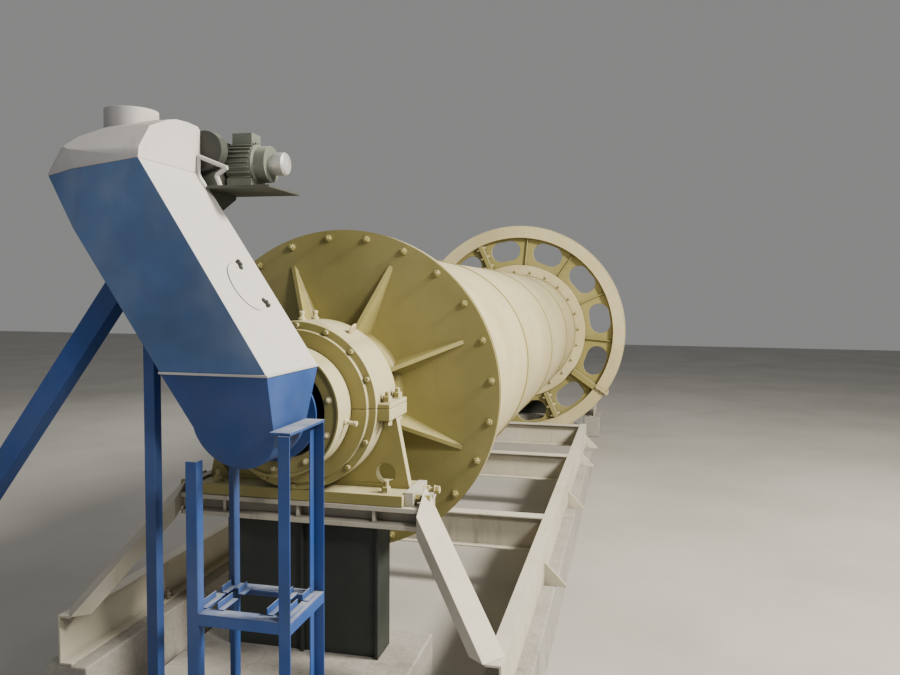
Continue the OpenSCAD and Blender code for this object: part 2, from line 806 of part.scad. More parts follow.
module stand_shelf() color(blue) {
    x0 = -stand_left + leg_t;
    x1 = stand_right - leg_t;
    y0 = stand_front + leg_t;
    y1 = stand_rear - leg_t;
    for (y = [y0, y1 - leg_t])
        block([x0, y, shelf_z - leg_w], [x1, y + leg_t, shelf_z]);
    for (x = [x0, x1 - leg_t])
        block([x, y0, shelf_z - leg_w], [x + leg_t, y1, shelf_z]);
    for (y = [y0 + 110, y1 - 150])
        block([x0, y, shelf_z - leg_t], [x1, y + leg_w, shelf_z]);
}

// Feeder supports: a post and a raking brace that both meet the underside of the casing

post_y = -772;
wall_seat = seat / sin(casing_lean);
function wall_z(x) = axis_height + casing_low + (-casing_left - x) / lean_run - wall_seat;
brace_half = brace_w / 2 / cos(brace_lean);
brace_run = tan(brace_lean);
brace_x = -post_x - 70;
// Where a line through x0 on the wall level runs down at the brace angle to the ground
function brace_foot(x0) = x0 - wall_z(x0) * brace_run;

module feeder_supports() color(blue) {
    translate([0, post_y + post_w / 2, 0]) rotate([90, 0, 0]) linear_extrude(post_w)
        polygon([[-post_x - post_w / 2, plinth_h], [-post_x + post_w / 2, plinth_h],
                 [-post_x + post_w / 2, wall_z(-post_x + post_w / 2)],
                 [-post_x - post_w / 2, wall_z(-post_x - post_w / 2)]]);
    translate([0, post_y + brace_w / 2, 0]) rotate([90, 0, 0]) linear_extrude(brace_w)
        polygon([[brace_x - brace_half, wall_z(brace_x - brace_half)],
                 [brace_x, wall_z(brace_x)],
                 [brace_foot(brace_x), 0],
                 [brace_foot(brace_x) - 2 * brace_half, 0]]);
}

// Feeder drive: motor on a bracketed plate, with a belt guard to the head shaft

plate_front = -722;
plate_rear = -72;
plate_right = 30;
motor_x = -120;
plate_z = axis_height + motor_plate_z;
motor_axis = motor_plate_z + motor_plate_t + feeder_motor_r + 20;
belt_y = -head_rear + belt_gap;
head_shaft_x = (head_left + head_right) / 2;
feeder_motor_y = belt_y + belt_guard_w;

module feeder_motor_plate() color(blue) {
    left = wall_x(casing_right, motor_plate_z) + seat;
    deep = motor_plate_z - 190;
    block([left, plate_front, plate_z], [plate_right, plate_rear, plate_z + motor_plate_t]);
    for (y = [plate_front, -head_rear - 40])
        along_y(y, 12) polygon([
            [wall_x(casing_right, deep) + seat, deep],
            [wall_x(casing_right, motor_plate_z) + seat, motor_plate_z],
            [plate_right, motor_plate_z], [plate_right, motor_plate_z - 16]]);
}

module feeder_motor() color(grey) {
    along_y(feeder_motor_y, feeder_motor_l) translate([motor_x, motor_axis])
        circle(feeder_motor_r, $fn = round_fn);
    block([motor_x - 80, feeder_motor_y + 60, plate_z + motor_plate_t],
          [motor_x + 80, feeder_motor_y + feeder_motor_l - 90, plate_z + motor_plate_t + 40]);
}

pulley_r = 96;
module belt_guard() color(dark) along_y(belt_y, belt_guard_w) {
    low = casing_high + 4;
    translate([motor_x, motor_axis]) circle(feeder_motor_r, $fn = round_fn);
    translate([head_shaft_x, low + pulley_r]) circle(pulley_r, $fn = round_fn);
    polygon([[motor_x, motor_axis - feeder_motor_r], [motor_x, motor_axis + feeder_motor_r],
             [head_shaft_x, low + 2 * pulley_r], [head_shaft_x, low]]);
}

rail_plinths();
near_plinth();
far_plinths();
rail_left();
rail_right();
far_rails();
cross_beams();
near_pedestal();
near_beam();
near_struts();
near_bearing_base();
near_bearing_cap();
far_pedestal();
far_beam();
far_struts();
far_bearing_base();
far_bearing_cap();
drum_shell();
near_head();
far_head();
near_trunnion();
far_trunnion();
near_end_ring();
far_end_ring();
girth_gear();
gear_web();
gear_guard_upper();
gear_guard_lower();
drive_plinth();
drive_frame();
pinion_housing();
pinion_bearings();
coupling_guards();
reducer();
drive_motor();
feeder_casing();
feeder_head();
feeder_boot();
feed_spout();
feeder_stand();
stand_shelf();
feeder_supports();
feeder_motor_plate();
feeder_motor();
belt_guard();
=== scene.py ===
"""Looks of the ball mill: a finish for every solid, with the bolts, seams and fittings that sit on them."""

import json
import math

import bmesh
import bpy
from mathutils import Matrix, Vector


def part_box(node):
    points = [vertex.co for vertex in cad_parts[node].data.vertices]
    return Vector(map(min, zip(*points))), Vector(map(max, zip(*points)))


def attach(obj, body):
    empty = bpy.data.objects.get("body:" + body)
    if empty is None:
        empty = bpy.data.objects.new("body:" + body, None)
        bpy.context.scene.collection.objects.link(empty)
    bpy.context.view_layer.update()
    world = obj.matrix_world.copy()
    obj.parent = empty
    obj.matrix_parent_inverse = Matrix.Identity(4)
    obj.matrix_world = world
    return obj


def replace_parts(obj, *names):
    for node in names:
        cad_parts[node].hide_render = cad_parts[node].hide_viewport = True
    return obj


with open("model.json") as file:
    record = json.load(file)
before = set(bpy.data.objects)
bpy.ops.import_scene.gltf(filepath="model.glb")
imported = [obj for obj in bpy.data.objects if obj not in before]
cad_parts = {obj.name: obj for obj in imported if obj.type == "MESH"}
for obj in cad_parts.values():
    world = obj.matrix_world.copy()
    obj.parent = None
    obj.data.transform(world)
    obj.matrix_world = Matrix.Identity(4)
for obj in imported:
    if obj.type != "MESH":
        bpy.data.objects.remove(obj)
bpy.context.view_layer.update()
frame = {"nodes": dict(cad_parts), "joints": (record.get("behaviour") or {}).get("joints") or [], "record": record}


def low(node):
    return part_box(node)[0]


def high(node):
    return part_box(node)[1]


# Main stations and radii, in metres, taken from the frame where a solid gives them
AXIS_Z = frame["joints"][0]["pos_m"][2]
SPAN = (low("far_bearing_cap").y + high("far_bearing_cap").y) / 2
FLANGE_T = 0.042
HEAD_FACE = high("near_head").y - FLANGE_T
FAR_HEAD_FACE = SPAN - HEAD_FACE
HUB_R = 0.350
RIB_TIP_R = 0.772
RIB_COUNT = 8
RIB_T = 0.022
HEAD_CONE = 0.030
SHELL_R = 0.820
SHELL_Y0 = low("drum_shell").y
SHELL_Y1 = high("drum_shell").y
HOUSING_R = high("near_bearing_cap").z - AXIS_Z
HOUSING_FACE = 0.1685
SEAL_R = 0.382
SEAL_FACE = HOUSING_FACE + 0.022
JOURNAL_R = 0.3003
SOLE_HALF = 0.554
SOLE_HALF_W = 0.165
SOLE_TOP = AXIS_Z - 0.420
BEAM_TOP = SOLE_TOP - 0.058
BEAM_HALF = 0.640
BEAM_HEIGHT = 0.110
BEAM_HALF_W = 0.170
BEAM_PLATE = 0.024
STOP_X = 0.600
LUG_OUT = 0.062
LUG_HALF_W = 0.150
CAP_LUG = 0.024
BASE_LUG = 0.060
FOOT_T = 0.050
FOOT_SUNK_R = 0.412
FOOT_HOLE = (0.425, 0.344)
FOOT_HOLE_R = 0.050
GUARD_R = 1.531
GUARD_LIP_R = 1.370
GUARD_SPLIT = 34
GUARD_BAR = 0.045
CASING_LEAN = math.radians(32.6)
CASING_LOW = AXIS_Z + 0.235
CASING_LEFT = -0.234
CASING_RIGHT = 0.235
CASING_REAR = -0.447
SLOT_OF = {s["node"]: s["material_slot"] for s in frame["record"]["subparts"]}


def circle(r, sides=120, centre=(0, 0)):
    turns = [2 * math.pi * k / sides for k in range(sides)]
    return [(centre[0] + r * math.cos(a), centre[1] + r * math.sin(a)) for a in turns]


# Mesh building: one Shape collects many small solids and becomes one object

class Shape:
    def __init__(self):
        self.points = []
        self.faces = []

    def add(self, points, faces, place=Matrix()):
        start = len(self.points)
        self.points += [place @ Vector(p) for p in points]
        self.faces += [[start + i for i in face] for face in faces]

    def lathe(self, profile, place, sides=24, closed=False):
        """Turns (radius, height) points about local Z. An open profile is capped; a closed one is a ring."""
        rings = [range(k * sides, (k + 1) * sides) for k in range(len(profile))]
        faces = []
        for a, b in zip(rings, rings[1:] + rings[:1] if closed else rings[1:]):
            faces += [(a[k], a[(k + 1) % sides], b[(k + 1) % sides], b[k]) for k in range(sides)]
        if not closed:
            faces += [rings[0][::-1], rings[-1]]
        self.add([(x, y, h) for r, h in profile for x, y in circle(r, sides)], faces, place)

    def strip(self, sections, place=Matrix()):
        """Joins sections, lists of equally many points, into one closed bar with capped ends."""
        n = len(sections[0])
        points = [p for section in sections for p in section]
        faces = [range(n)[::-1], range(len(points) - n, len(points))]
        for k in range(len(sections) - 1):
            for s in range(n):
                t = (s + 1) % n
                faces.append((k * n + s, k * n + t, (k + 1) * n + t, (k + 1) * n + s))
        self.add(points, faces, place)

    def prism(self, outline, height, place):
        """Raises a flat outline of (x, y) points from local Z 0 to height."""
        self.strip([[(x, y, z) for x, y in outline] for z in (0, height)], place)

    def box(self, lo, hi, place=Matrix()):
        outline = [(lo[0], lo[1]), (hi[0], lo[1]), (hi[0], hi[1]), (lo[0], hi[1])]
        self.prism(outline, hi[2] - lo[2], place @ Matrix.Translation((0, 0, lo[2])))

    def tube(self, path, radius, sides=10):
        """Sweeps a circle along a list of points."""
        sections = []
        for k, p in enumerate(path):
            ahead = Vector(path[min(k + 1, len(path) - 1)]) - Vector(path[max(k - 1, 0)])
            turn = ahead.to_track_quat("Z", "Y").to_matrix()
            sections.append([Vector(p) + turn @ Vector((x, y, 0)) for x, y in circle(radius, sides)])
        self.strip(sections)


def convex(shape, planes):
    """Adds the solid that lies behind every plane, each given by a point and its outward direction."""
    mesh = bmesh.new()
    bmesh.ops.create_cube(mesh, size=6.0, matrix=Matrix.Translation(planes[0][0]))
    for point, out in planes:
        everything = mesh.verts[:] + mesh.edges[:] + mesh.faces[:]
        cut = bmesh.ops.bisect_plane(mesh, geom=everything, dist=1e-6, plane_co=point, plane_no=out, clear_outer=True)
        rim = [e for e in cut["geom_cut"] if isinstance(e, bmesh.types.BMEdge)]
        bmesh.ops.edgeloop_fill(mesh, edges=rim)
    mesh.normal_update()
    mesh.verts.index_update()
    shape.add([v.co.copy() for v in mesh.verts], [[v.index for v in f.verts] for f in mesh.faces], Matrix())
    mesh.free()


def plate(shape, loops, thickness, place):
    """Raises a flat outline with holes from local Z 0 to a thickness. The first loop is the outline."""
    mesh = bmesh.new()
    sides = []
    count = sum(len(loop) for loop in loops)
    for loop in loops:
        start = len(mesh.verts)
        corners = [mesh.verts.new((x, y, 0)) for x, y in loop]
        for k, corner in enumerate(corners):
            n = (k + 1) % len(corners)
            mesh.edges.new((corner, corners[n]))
            sides.append((start + k, start + n, count + start + n, count + start + k))
    mesh.verts.index_update()
    filled = bmesh.ops.triangle_fill(mesh, edges=mesh.edges[:], use_beauty=True)
    flats = [[v.index for v in f.verts] for f in filled["geom"] if isinstance(f, bmesh.types.BMFace)]
    mesh.free()
    points = [(x, y, z) for z in (0, thickness) for loop in loops for x, y in loop]
    shape.add(points, flats + [[count + i for i in face] for face in flats] + sides, place)


def walls(points, across, closed=False):
    """Planes along a clockwise outline of (across, height above the drum axis) points."""
    planes = []
    for (u0, z0), (u1, z1) in zip(points, points[1:] + points[:1] if closed else points[1:]):
        out = across * (z0 - z1) + Vector((0, 0, u1 - u0))
        planes.append((across * u0 + Vector((0, 0, AXIS_Z + z0)), out.normalized()))
    return planes


def piece(name, shape, slot, body, smooth=35, rounding=0.0, material=None):
    """Makes the object of a Shape: it takes the finish of a slot and rides on a body."""
    mesh = bpy.data.meshes.new(name)
    mesh.from_pydata([tuple(p) for p in shape.points], [], shape.faces)
    mesh.validate()
    turned = bmesh.new()
    turned.from_mesh(mesh)
    bmesh.ops.recalc_face_normals(turned, faces=turned.faces[:])
    turned.to_mesh(mesh)
    turned.free()
    mesh.shade_smooth()
    mesh.set_sharp_from_angle(angle=math.radians(smooth))
    obj = bpy.data.objects.new(name, mesh)
    bpy.context.scene.collection.objects.link(obj)
    mesh.materials.append(material or MATERIALS[slot])
    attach(obj, body)
    if rounding:
        round_edges(obj, rounding)
    return obj


def round_edges(obj, width, angle=38, segments=2):
    bevel = obj.modifiers.new("round_edges", "BEVEL")
    bevel.width = width
    bevel.segments = segments
    bevel.limit_method = "ANGLE"
    bevel.angle_limit = math.radians(angle)
    shade = obj.modifiers.new("even_shading", "WEIGHTED_NORMAL")
    shade.keep_sharp = False
    shade.weight = 80


def aim(point, direction):
    """A place at a point with its local Z along a direction."""
    turn = Vector(direction).to_track_quat("Z", "Y").to_matrix().to_4x4()
    return Matrix.Translation(point) @ turn


def on_drum(r, degrees, y):
    a = math.radians(degrees)
    return Vector((r * math.cos(a), y, AXIS_Z + r * math.sin(a)))


def outward(degrees):
    a = math.radians(degrees)
    return Vector((math.cos(a), 0, math.sin(a)))


def tangent(degrees):
    return outward(degrees + 90)


# The frame of the drum's revolved forms: local Z runs along +Y, and local X stays +X
DRUM_PLACE = Matrix.Translation((0, 0, AXIS_Z)) @ Matrix.Rotation(math.radians(-90), 4, "X")


def bead(shape, r, y, size, sides=160):
    """A low weld bead round the drum axis, sunk by half of its size."""
    arc = [(r + size * math.cos(a), y + size * math.sin(a)) for a in [math.radians(t) for t in range(0, 360, 60)]]
    shape.lathe(arc, DRUM_PLACE, sides=sides, closed=True)


def hexagon(across):
    return circle(across / 2 / math.cos(math.pi / 6), 6)


def bolt(shape, point, direction, across, stud=0.0, turn=0.0):
    """A washer, a chamfered hexagon and, where the nut shows, the end of the stud."""
    place = aim(point, direction) @ Matrix.Rotation(math.radians(turn), 4, "Z")
    washer_t = across * 0.10
    head_h = across * 0.66
    washer = [(across * 0.66, -0.001), (across * 0.66, washer_t * 0.7), (across * 0.60, washer_t)]
    shape.lathe(washer, place, sides=20)
    levels = ((across, washer_t), (across, washer_t + head_h * 0.86), (across * 0.86, washer_t + head_h))
    shape.strip([[(x, y, z) for x, y in hexagon(wide)] for wide, z in levels], place)
    if stud:
        r = across * 0.31
        h = washer_t + head_h
        shape.lathe([(r, h - 0.002), (r, h + stud - r * 0.3), (r * 0.7, h + stud)], place, sides=14)


# Materials: each is worked out from object coordinates, so it rides with its body

class Paint:
    """A small helper that builds one procedural material."""

    def __init__(self, name, roughness=0.5, metallic=0.0, specular=0.5, coat=0.0):
        self.material = bpy.data.materials.new(name)
        self.material.use_nodes = True
        self.tree = self.material.node_tree
        self.shader = self.tree.nodes["Principled BSDF"]
        self.shader.inputs["Roughness"].default_value = roughness
        self.shader.inputs["Metallic"].default_value = metallic
        self.shader.inputs["Specular IOR Level"].default_value = specular
        self.shader.inputs["Coat Weight"].default_value = coat
        self.coordinates = self.tree.nodes.new("ShaderNodeTexCoord")

    def set(self, socket, value):
        if isinstance(value, bpy.types.NodeSocket):
            self.tree.links.new(value, socket)
        else:
            socket.default_value = value

    def node(self, kind, **inputs):
        """A new node with its inputs set by name, where an underscore stands for a space."""
        node = self.tree.nodes.new("ShaderNode" + kind)
        for name, value in inputs.items():
            self.set(node.inputs[name.replace("_", " ")], value)
        return node

    def spot(self, location, stretch=(1, 1, 1)):
        """Object coordinates, moved and stretched."""
        source = self.coordinates.outputs["Object"]
        return self.node("Mapping", Vector=source, Location=location, Scale=stretch).outputs["Vector"]

    def noise(self, scale, detail=4.0, roughness=0.55, stretch=(1, 1, 1), seed=0.0):
        spot = self.spot((seed, seed * 1.7, -seed), stretch)
        return self.node("TexNoise", Vector=spot, Scale=scale, Detail=detail, Roughness=roughness).outputs["Fac"]

    def cells(self, scale, seed=0.0):
        return self.node("TexVoronoi", Vector=self.spot((seed, -seed, seed)), Scale=scale).outputs["Distance"]

    def spread(self, value, start, end, to_start=0.0, to_end=1.0):
        node = self.node("MapRange", Value=value, From_Min=start, From_Max=end, To_Min=to_start, To_Max=to_end)
        node.interpolation_type = "SMOOTHSTEP"
        return node.outputs["Result"]

    def math(self, operation, a, b):
        node = self.node("Math")
        node.operation = operation
        node.use_clamp = True
        self.set(node.inputs[0], a)
        self.set(node.inputs[1], b)
        return node.outputs["Value"]

    def mix(self, factor, a, b):
        node = self.node("Mix", Factor=factor)
        node.data_type = "RGBA"
        for k, colour in ((6, a), (7, b)):
            self.set(node.inputs[k], colour if isinstance(colour, bpy.types.NodeSocket) else (*colour, 1.0))
        return node.outputs[2]

    def mix_value(self, factor, a, b):
        return self.node("Mix", Factor=factor, A=a, B=b).outputs["Result"]

    def facing(self, axis):
        """How far the surface faces along one axis of its own body, from -1 to 1."""
        return self.node("SeparateXYZ", Vector=self.coordinates.outputs["Normal"]).outputs[axis]

    def crevice(self, distance):
        node = self.node("AmbientOcclusion", Distance=distance)
        node.samples = 6
        return node.outputs["AO"]

    def bump(self, *layers):
        """Stacks (height, strength, distance) layers into the shader's normal."""
        normal = None
        for height, strength, distance in layers:
            node = self.node("Bump", Height=height, Strength=strength, Distance=distance)
            if normal is not None:
                self.set(node.inputs["Normal"], normal)
            normal = node.outputs["Normal"]
        self.set(self.shader.inputs["Normal"], normal)

    def finish(self, colour, roughness):
        self.set(self.shader.inputs["Base Color"], colour)
        self.set(self.shader.inputs["Roughness"], roughness)
        return self.material


def enamel(name, base, shade, dust, grime_and_shade, top_dust_and_light=0.5, dust_all=0.15, rough=0.42, streaks=0.2, seed=0.0,
           side_dust_and_light=0.0):
    """Brushed enamel on steel: patchy tone, dust on upper faces, painted shade in corners and grime runs down the
    sides.
    """
    p = Paint(name, specular=0.45)
    tone = p.spread(p.noise(1.1, 5, 0.6, seed=seed), 0.35, 0.68)
    colour = p.mix(tone, base, shade)
    mottle = p.spread(p.noise(14, 4, 0.6, seed=seed + 3), 0.3, 0.75, 0.0, 0.28)
    colour = p.mix(mottle, colour, shade)
    runs = p.spread(p.noise(2.6, 5, 0.6, stretch=(5, 5, 0.45), seed=seed + 5), 0.56, 0.78, 0.0, streaks)
    colour = p.mix(runs, colour, grime_and_shade)
    # Upper faces, and with a side setting faces turned to +X, take the dust colour: dust in most finishes, a painted
    # highlight in the shade-and-light finish.
    upper = p.spread(p.facing("Z"), 0.45, 0.98, 0.0, top_dust_and_light)
    patches = p.spread(p.noise(3.2, 6, 0.65, seed=seed + 7), 0.30, 0.62, 0.35, 1.0)
    veil = p.spread(p.noise(0.8, 4, 0.6, seed=seed + 9), 0.42, 0.72, 0.0, dust_all)
    dust_and_light_mask = p.math("MAXIMUM", p.math("MULTIPLY", upper, patches), veil)
    if side_dust_and_light:
        dust_and_light_mask = p.math("MAXIMUM", dust_and_light_mask, p.spread(p.facing("X"), 0.45, 0.80, 0.0, side_dust_and_light))
    colour = p.mix(dust_and_light_mask, colour, dust)
    # Painted shade: occlusion darkens corners and recesses towards the grime colour.
    corner = p.math("MULTIPLY", p.spread(p.crevice(0.07), 0.80, 0.25), 0.55)
    colour = p.mix(corner, colour, grime_and_shade)
    specks = p.spread(p.cells(26, seed), 0.10, 0.04, 0.0, 0.5)
    chips = p.math("MULTIPLY", specks, p.spread(p.noise(1.7, 3, 0.6, seed=seed + 11), 0.58, 0.70))
    colour = p.mix(chips, colour, grime_and_shade)
    gloss = p.mix_value(dust_and_light_mask, rough, 0.92)
    gloss = p.math("ADD", gloss, p.spread(p.noise(9, 3, 0.6, seed=seed + 2), 0.3, 0.8, 0.0, 0.14))
    p.bump((p.noise(2.2, 2, 0.5, seed=seed), 0.10, 0.02), (p.noise(240, 2, 0.5), 0.05, 0.001))
    return p.finish(colour, gloss)


def concrete():
    p = Paint("concrete", specular=0.25)
    tone = p.spread(p.noise(1.6, 6, 0.65), 0.3, 0.7)
    colour = p.mix(tone, (0.34, 0.32, 0.29), (0.26, 0.245, 0.22))
    colour = p.mix(p.spread(p.noise(38, 4, 0.7), 0.40, 0.75, 0.0, 0.6), colour, (0.42, 0.40, 0.37))
    stains = p.spread(p.noise(2.4, 5, 0.6, stretch=(3, 3, 0.5), seed=4), 0.52, 0.75, 0.0, 0.55)
    colour = p.mix(stains, colour, (0.15, 0.14, 0.12))
    pores = p.spread(p.cells(55), 0.16, 0.05)
    pores = p.math("MULTIPLY", pores, p.spread(p.noise(6, 3, 0.6, seed=2), 0.45, 0.62))
    colour = p.mix(pores, colour, (0.10, 0.095, 0.085))
    boards = p.noise(1.0, 2, 0.5, stretch=(0.15, 0.15, 14), seed=8)
    p.bump((boards, 0.35, 0.006), (p.noise(34, 5, 0.7), 0.45, 0.004), (pores, -0.8, 0.004))
    return p.finish(colour, 0.9)


MATERIALS = {
    "cream_paint": enamel("cream_enamel", (0.62, 0.54, 0.31), (0.50, 0.43, 0.235), (0.60, 0.56, 0.42),
                          (0.15, 0.13, 0.06), top_dust_and_light=0.3, streaks=0.10, seed=1.0),
    # The ochre enamel is the cream paint darkened, a painted shade for the drum heads and the other parts in this
    # slot.
    "olive_paint": enamel("ochre_enamel", (0.310, 0.270, 0.092), (0.245, 0.214, 0.070), (0.42, 0.39, 0.25),
                          (0.060, 0.050, 0.020), top_dust_and_light=0.25, streaks=0.10, seed=2.0),
    "frame_paint": enamel("frame_enamel", (0.55, 0.51, 0.42), (0.42, 0.39, 0.31), (0.56, 0.53, 0.47),
                          (0.10, 0.085, 0.06), top_dust_and_light=0.7, dust_all=0.3, rough=0.55, streaks=0.45, seed=3.0),
    "dark_steel": enamel("dark_enamel", (0.030, 0.036, 0.031), (0.020, 0.025, 0.022), (0.20, 0.19, 0.165),
                         (0.012, 0.012, 0.010), top_dust_and_light=0.7, dust_all=0.18, rough=0.6, seed=4.0),
    "blue_paint": enamel("blue_enamel", (0.014, 0.068, 0.285), (0.010, 0.045, 0.180), (0.33, 0.35, 0.39),
                         (0.010, 0.015, 0.030), top_dust_and_light=0.8, dust_all=0.12, rough=0.38, streaks=0.2, seed=5.0),
    "dusty_paint": enamel("dusty_enamel", (0.50, 0.49, 0.50), (0.38, 0.37, 0.38), (0.60, 0.56, 0.51),
                          (0.14, 0.11, 0.08), top_dust_and_light=0.7, dust_all=0.4, rough=0.6, streaks=0.35, seed=6.0,
                          side_dust_and_light=0.5),
    "motor_paint": enamel("motor_enamel", (0.17, 0.19, 0.155), (0.12, 0.135, 0.11), (0.38, 0.37, 0.31),
                          (0.035, 0.035, 0.028), top_dust_and_light=0.75, dust_all=0.4, rough=0.5, seed=7.0),
    "concrete": concrete(),
}

# The casing wears the blue enamel too, with pale dust on its sloping right wall
CASING_PAINT = enamel("casing_enamel", (0.060, 0.130, 0.300), (0.042, 0.080, 0.180), (0.60, 0.57, 0.53),
                      (0.030, 0.030, 0.035), top_dust_and_light=0.8, dust_all=0.35, rough=0.45, streaks=0.30, seed=5.5,
                      side_dust_and_light=0.88)

# The bearings, trunnion ends and gear web take the ochre too, as painted shade, and turn cream where they face up or
# to the right, as a painted highlight
SHADE_AND_LIGHT_PAINT = enamel("casting_enamel", (0.310, 0.270, 0.092), (0.245, 0.214, 0.070), (0.58, 0.53, 0.35),
                       (0.060, 0.050, 0.020), top_dust_and_light=0.75, dust_all=0.12, streaks=0.10, seed=2.5, side_dust_and_light=0.65)


def bare_steel():
    p = Paint("worn_steel", roughness=0.4, metallic=0.85)
    colour = p.mix(p.spread(p.noise(30, 5, 0.7), 0.35, 0.7), (0.42, 0.40, 0.37), (0.20, 0.16, 0.12))
    p.bump((p.noise(160, 3, 0.6), 0.12, 0.001),)
    return p.finish(colour, p.spread(p.noise(18, 4, 0.6, seed=3), 0.3, 0.7, 0.3, 0.6))


STEEL = bare_steel()


def cowl_paint():
    p = Paint("silver_cowl", metallic=0.6)
    colour = p.mix(p.spread(p.noise(7, 5, 0.6), 0.35, 0.7), (0.62, 0.62, 0.60), (0.42, 0.41, 0.38))
    p.bump((p.noise(90, 3, 0.6), 0.08, 0.001),)
    return p.finish(colour, p.spread(p.noise(12, 4, 0.6, seed=5), 0.3, 0.7, 0.32, 0.6))


COWL = cowl_paint()

# Dressing of the frame's own solids: welded, with rounded edges and the finish of their slot

ROUNDING = {"concrete": 0.012, "cream_paint": 0.003, "olive_paint": 0.005, "frame_paint": 0.0025,
            "dark_steel": 0.0025, "blue_paint": 0.003, "dusty_paint": 0.004, "motor_paint": 0.006}
PLAIN_EDGES = ("girth_gear",)
# The end rings take the painted shade and highlight of the bearings.
OWN_FINISH = {"near_end_ring": SHADE_AND_LIGHT_PAINT, "far_end_ring": SHADE_AND_LIGHT_PAINT}


def dress(name, obj):
    slot = SLOT_OF[name]
    obj.data.materials.clear()
    obj.data.materials.append(OWN_FINISH.get(name, MATERIALS[slot]))
    custom = obj.data.attributes.get("custom_normal")
    if custom:
        obj.data.attributes.remove(custom)
    for polygon in obj.data.polygons:
        polygon.use_smooth = True
    weld = obj.modifiers.new("weld", "WELD")
    weld.merge_threshold = 0.00002
    flat = obj.modifiers.new("join_flats", "DECIMATE")
    flat.decimate_type = "DISSOLVE"
    flat.angle_limit = math.radians(0.3)
    round_edges(obj, 0.0015 if name in PLAIN_EDGES else ROUNDING[slot], segments=1 if name in PLAIN_EDGES else 2)


for node_name, node in frame["nodes"].items():
    dress(node_name, node)

# Drum: flange bolts, ribs run into the heads, seams and the fitting on the end ring

HEAD_BOLT_R = 0.875
HEAD_BOLTS = 24
HEAD_BOLT_TURN = 5.3
GEAR_BOLT_R = 0.880
GEAR_BOLT_TURN = 3.5
BOLT_AF = 0.034


def ring_of_bolts(shape, r, y, toward, count, first, across, stud=0.0, skip=()):
    for k in range(count):
        degrees = first + 360 / count * k
        if not any(abs((degrees - s + 180) % 360 - 180) < 8 for s in skip):
            bolt(shape, on_drum(r, degrees, y), (0, toward, 0), across, stud, turn=17 * k)


def drum_bolts():
    bolts = Shape()
    ring_of_bolts(bolts, HEAD_BOLT_R, SHELL_Y0 + FLANGE_T, 1, HEAD_BOLTS, HEAD_BOLT_TURN, BOLT_AF, 0.016)
    ring_of_bolts(bolts, GEAR_BOLT_R, SHELL_Y1 - FLANGE_T, -1, HEAD_BOLTS, GEAR_BOLT_TURN, BOLT_AF, 0.016)
    piece("flange_bolts", bolts, "cream_paint", "drum")
    heads = Shape()
    ring_of_bolts(heads, HEAD_BOLT_R, HEAD_FACE, -1, HEAD_BOLTS, HEAD_BOLT_TURN, BOLT_AF, 0.012)
    ring_of_bolts(heads, GEAR_BOLT_R, FAR_HEAD_FACE, 1, HEAD_BOLTS, GEAR_BOLT_TURN, BOLT_AF, 0.012)
    # The head bolts take the darkened cream enamel of the heads, painted shade.
    piece("head_bolts", heads, "olive_paint", "drum")
    small = Shape()
    end_plate = low("near_end_ring").y + 0.014
    for y, toward in ((end_plate, -1), (SPAN - end_plate, 1)):
        ring_of_bolts(small, 0.268, y, toward, 10, 14.4, 0.024, 0.006)
    piece("end_plate_bolts", small, "cream_paint", "drum")


def fillet_section(corner, side, up, size):
    """A concave fillet between two faces that meet at a corner, as a list of points."""
    centre = corner + side * size + up * size
    arc = []
    for k in range(5):
        a = math.pi / 2 * k / 4
        arc.append(centre - side * size * math.cos(a) - up * size * math.sin(a))
    return [corner - side * 0.004 - up * 0.004] + arc


def head_fillets(face_y, toward):
    """Runs of fillet on both sides of each rib, and round the foot of the hub."""
    shape = Shape()
    up = Vector((0, toward, 0))
    for k in range(RIB_COUNT):
        degrees = (k + 0.5) * 360 / RIB_COUNT
        for sign in (-1, 1):
            side = tangent(degrees) * sign
            sections = []
            for step in range(9):
                t = step / 8
                r = HUB_R + (RIB_TIP_R - 0.015 - HUB_R) * t
                rise = HEAD_CONE * (1 - t)
                size = 0.034 - 0.026 * t
                corner = on_drum(r, degrees, face_y) + side * RIB_T / 2 + up * rise
                sections.append(fillet_section(corner, side, up, size))
            shape.strip(sections if sign < 0 else sections[::-1])
    ring = [(HUB_R - 0.004, -0.004)]
    size = 0.030
    for k in range(5):
        a = math.pi / 2 * k / 4
        ring.append((HUB_R + size * (1 - math.cos(a)), size * (1 - math.sin(a))))
    profile = [(r, face_y + toward * (HEAD_CONE + h) if toward > 0 else face_y - HEAD_CONE - h) for r, h in ring]
    shape.lathe(profile, DRUM_PLACE, sides=96, closed=True)
    return shape


def both_head_fillets():
    # The fillets take the darkened cream enamel of the heads, painted shade.
    piece("near_head_fillets", head_fillets(HEAD_FACE, -1), "olive_paint", "drum", smooth=50)
    piece("far_head_fillets", head_fillets(FAR_HEAD_FACE, 1), "olive_paint", "drum", smooth=50)


def shell_seams():
    seams = Shape()
    course_y = (4.378, 2.45, 6.28)
    for y in course_y:
        bead(seams, SHELL_R, y, 0.009)
    for y in (SHELL_Y0 + FLANGE_T, SHELL_Y1 - FLANGE_T):
        bead(seams, SHELL_R + 0.002, y, 0.009)
    edges = [SHELL_Y0 + FLANGE_T, course_y[1], course_y[0], course_y[2], SHELL_Y1 - FLANGE_T]
    for k, degrees in enumerate((205, 310, 250, 340)):
        path = [on_drum(SHELL_R, degrees, edges[k]), on_drum(SHELL_R, degrees, edges[k + 1])]
        seams.tube(path, 0.0045, sides=8)
    # The beads take the darkened cream enamel, painted shade along each seam.
    piece("shell_seams", seams, "cream_paint", "drum", material=MATERIALS["olive_paint"])


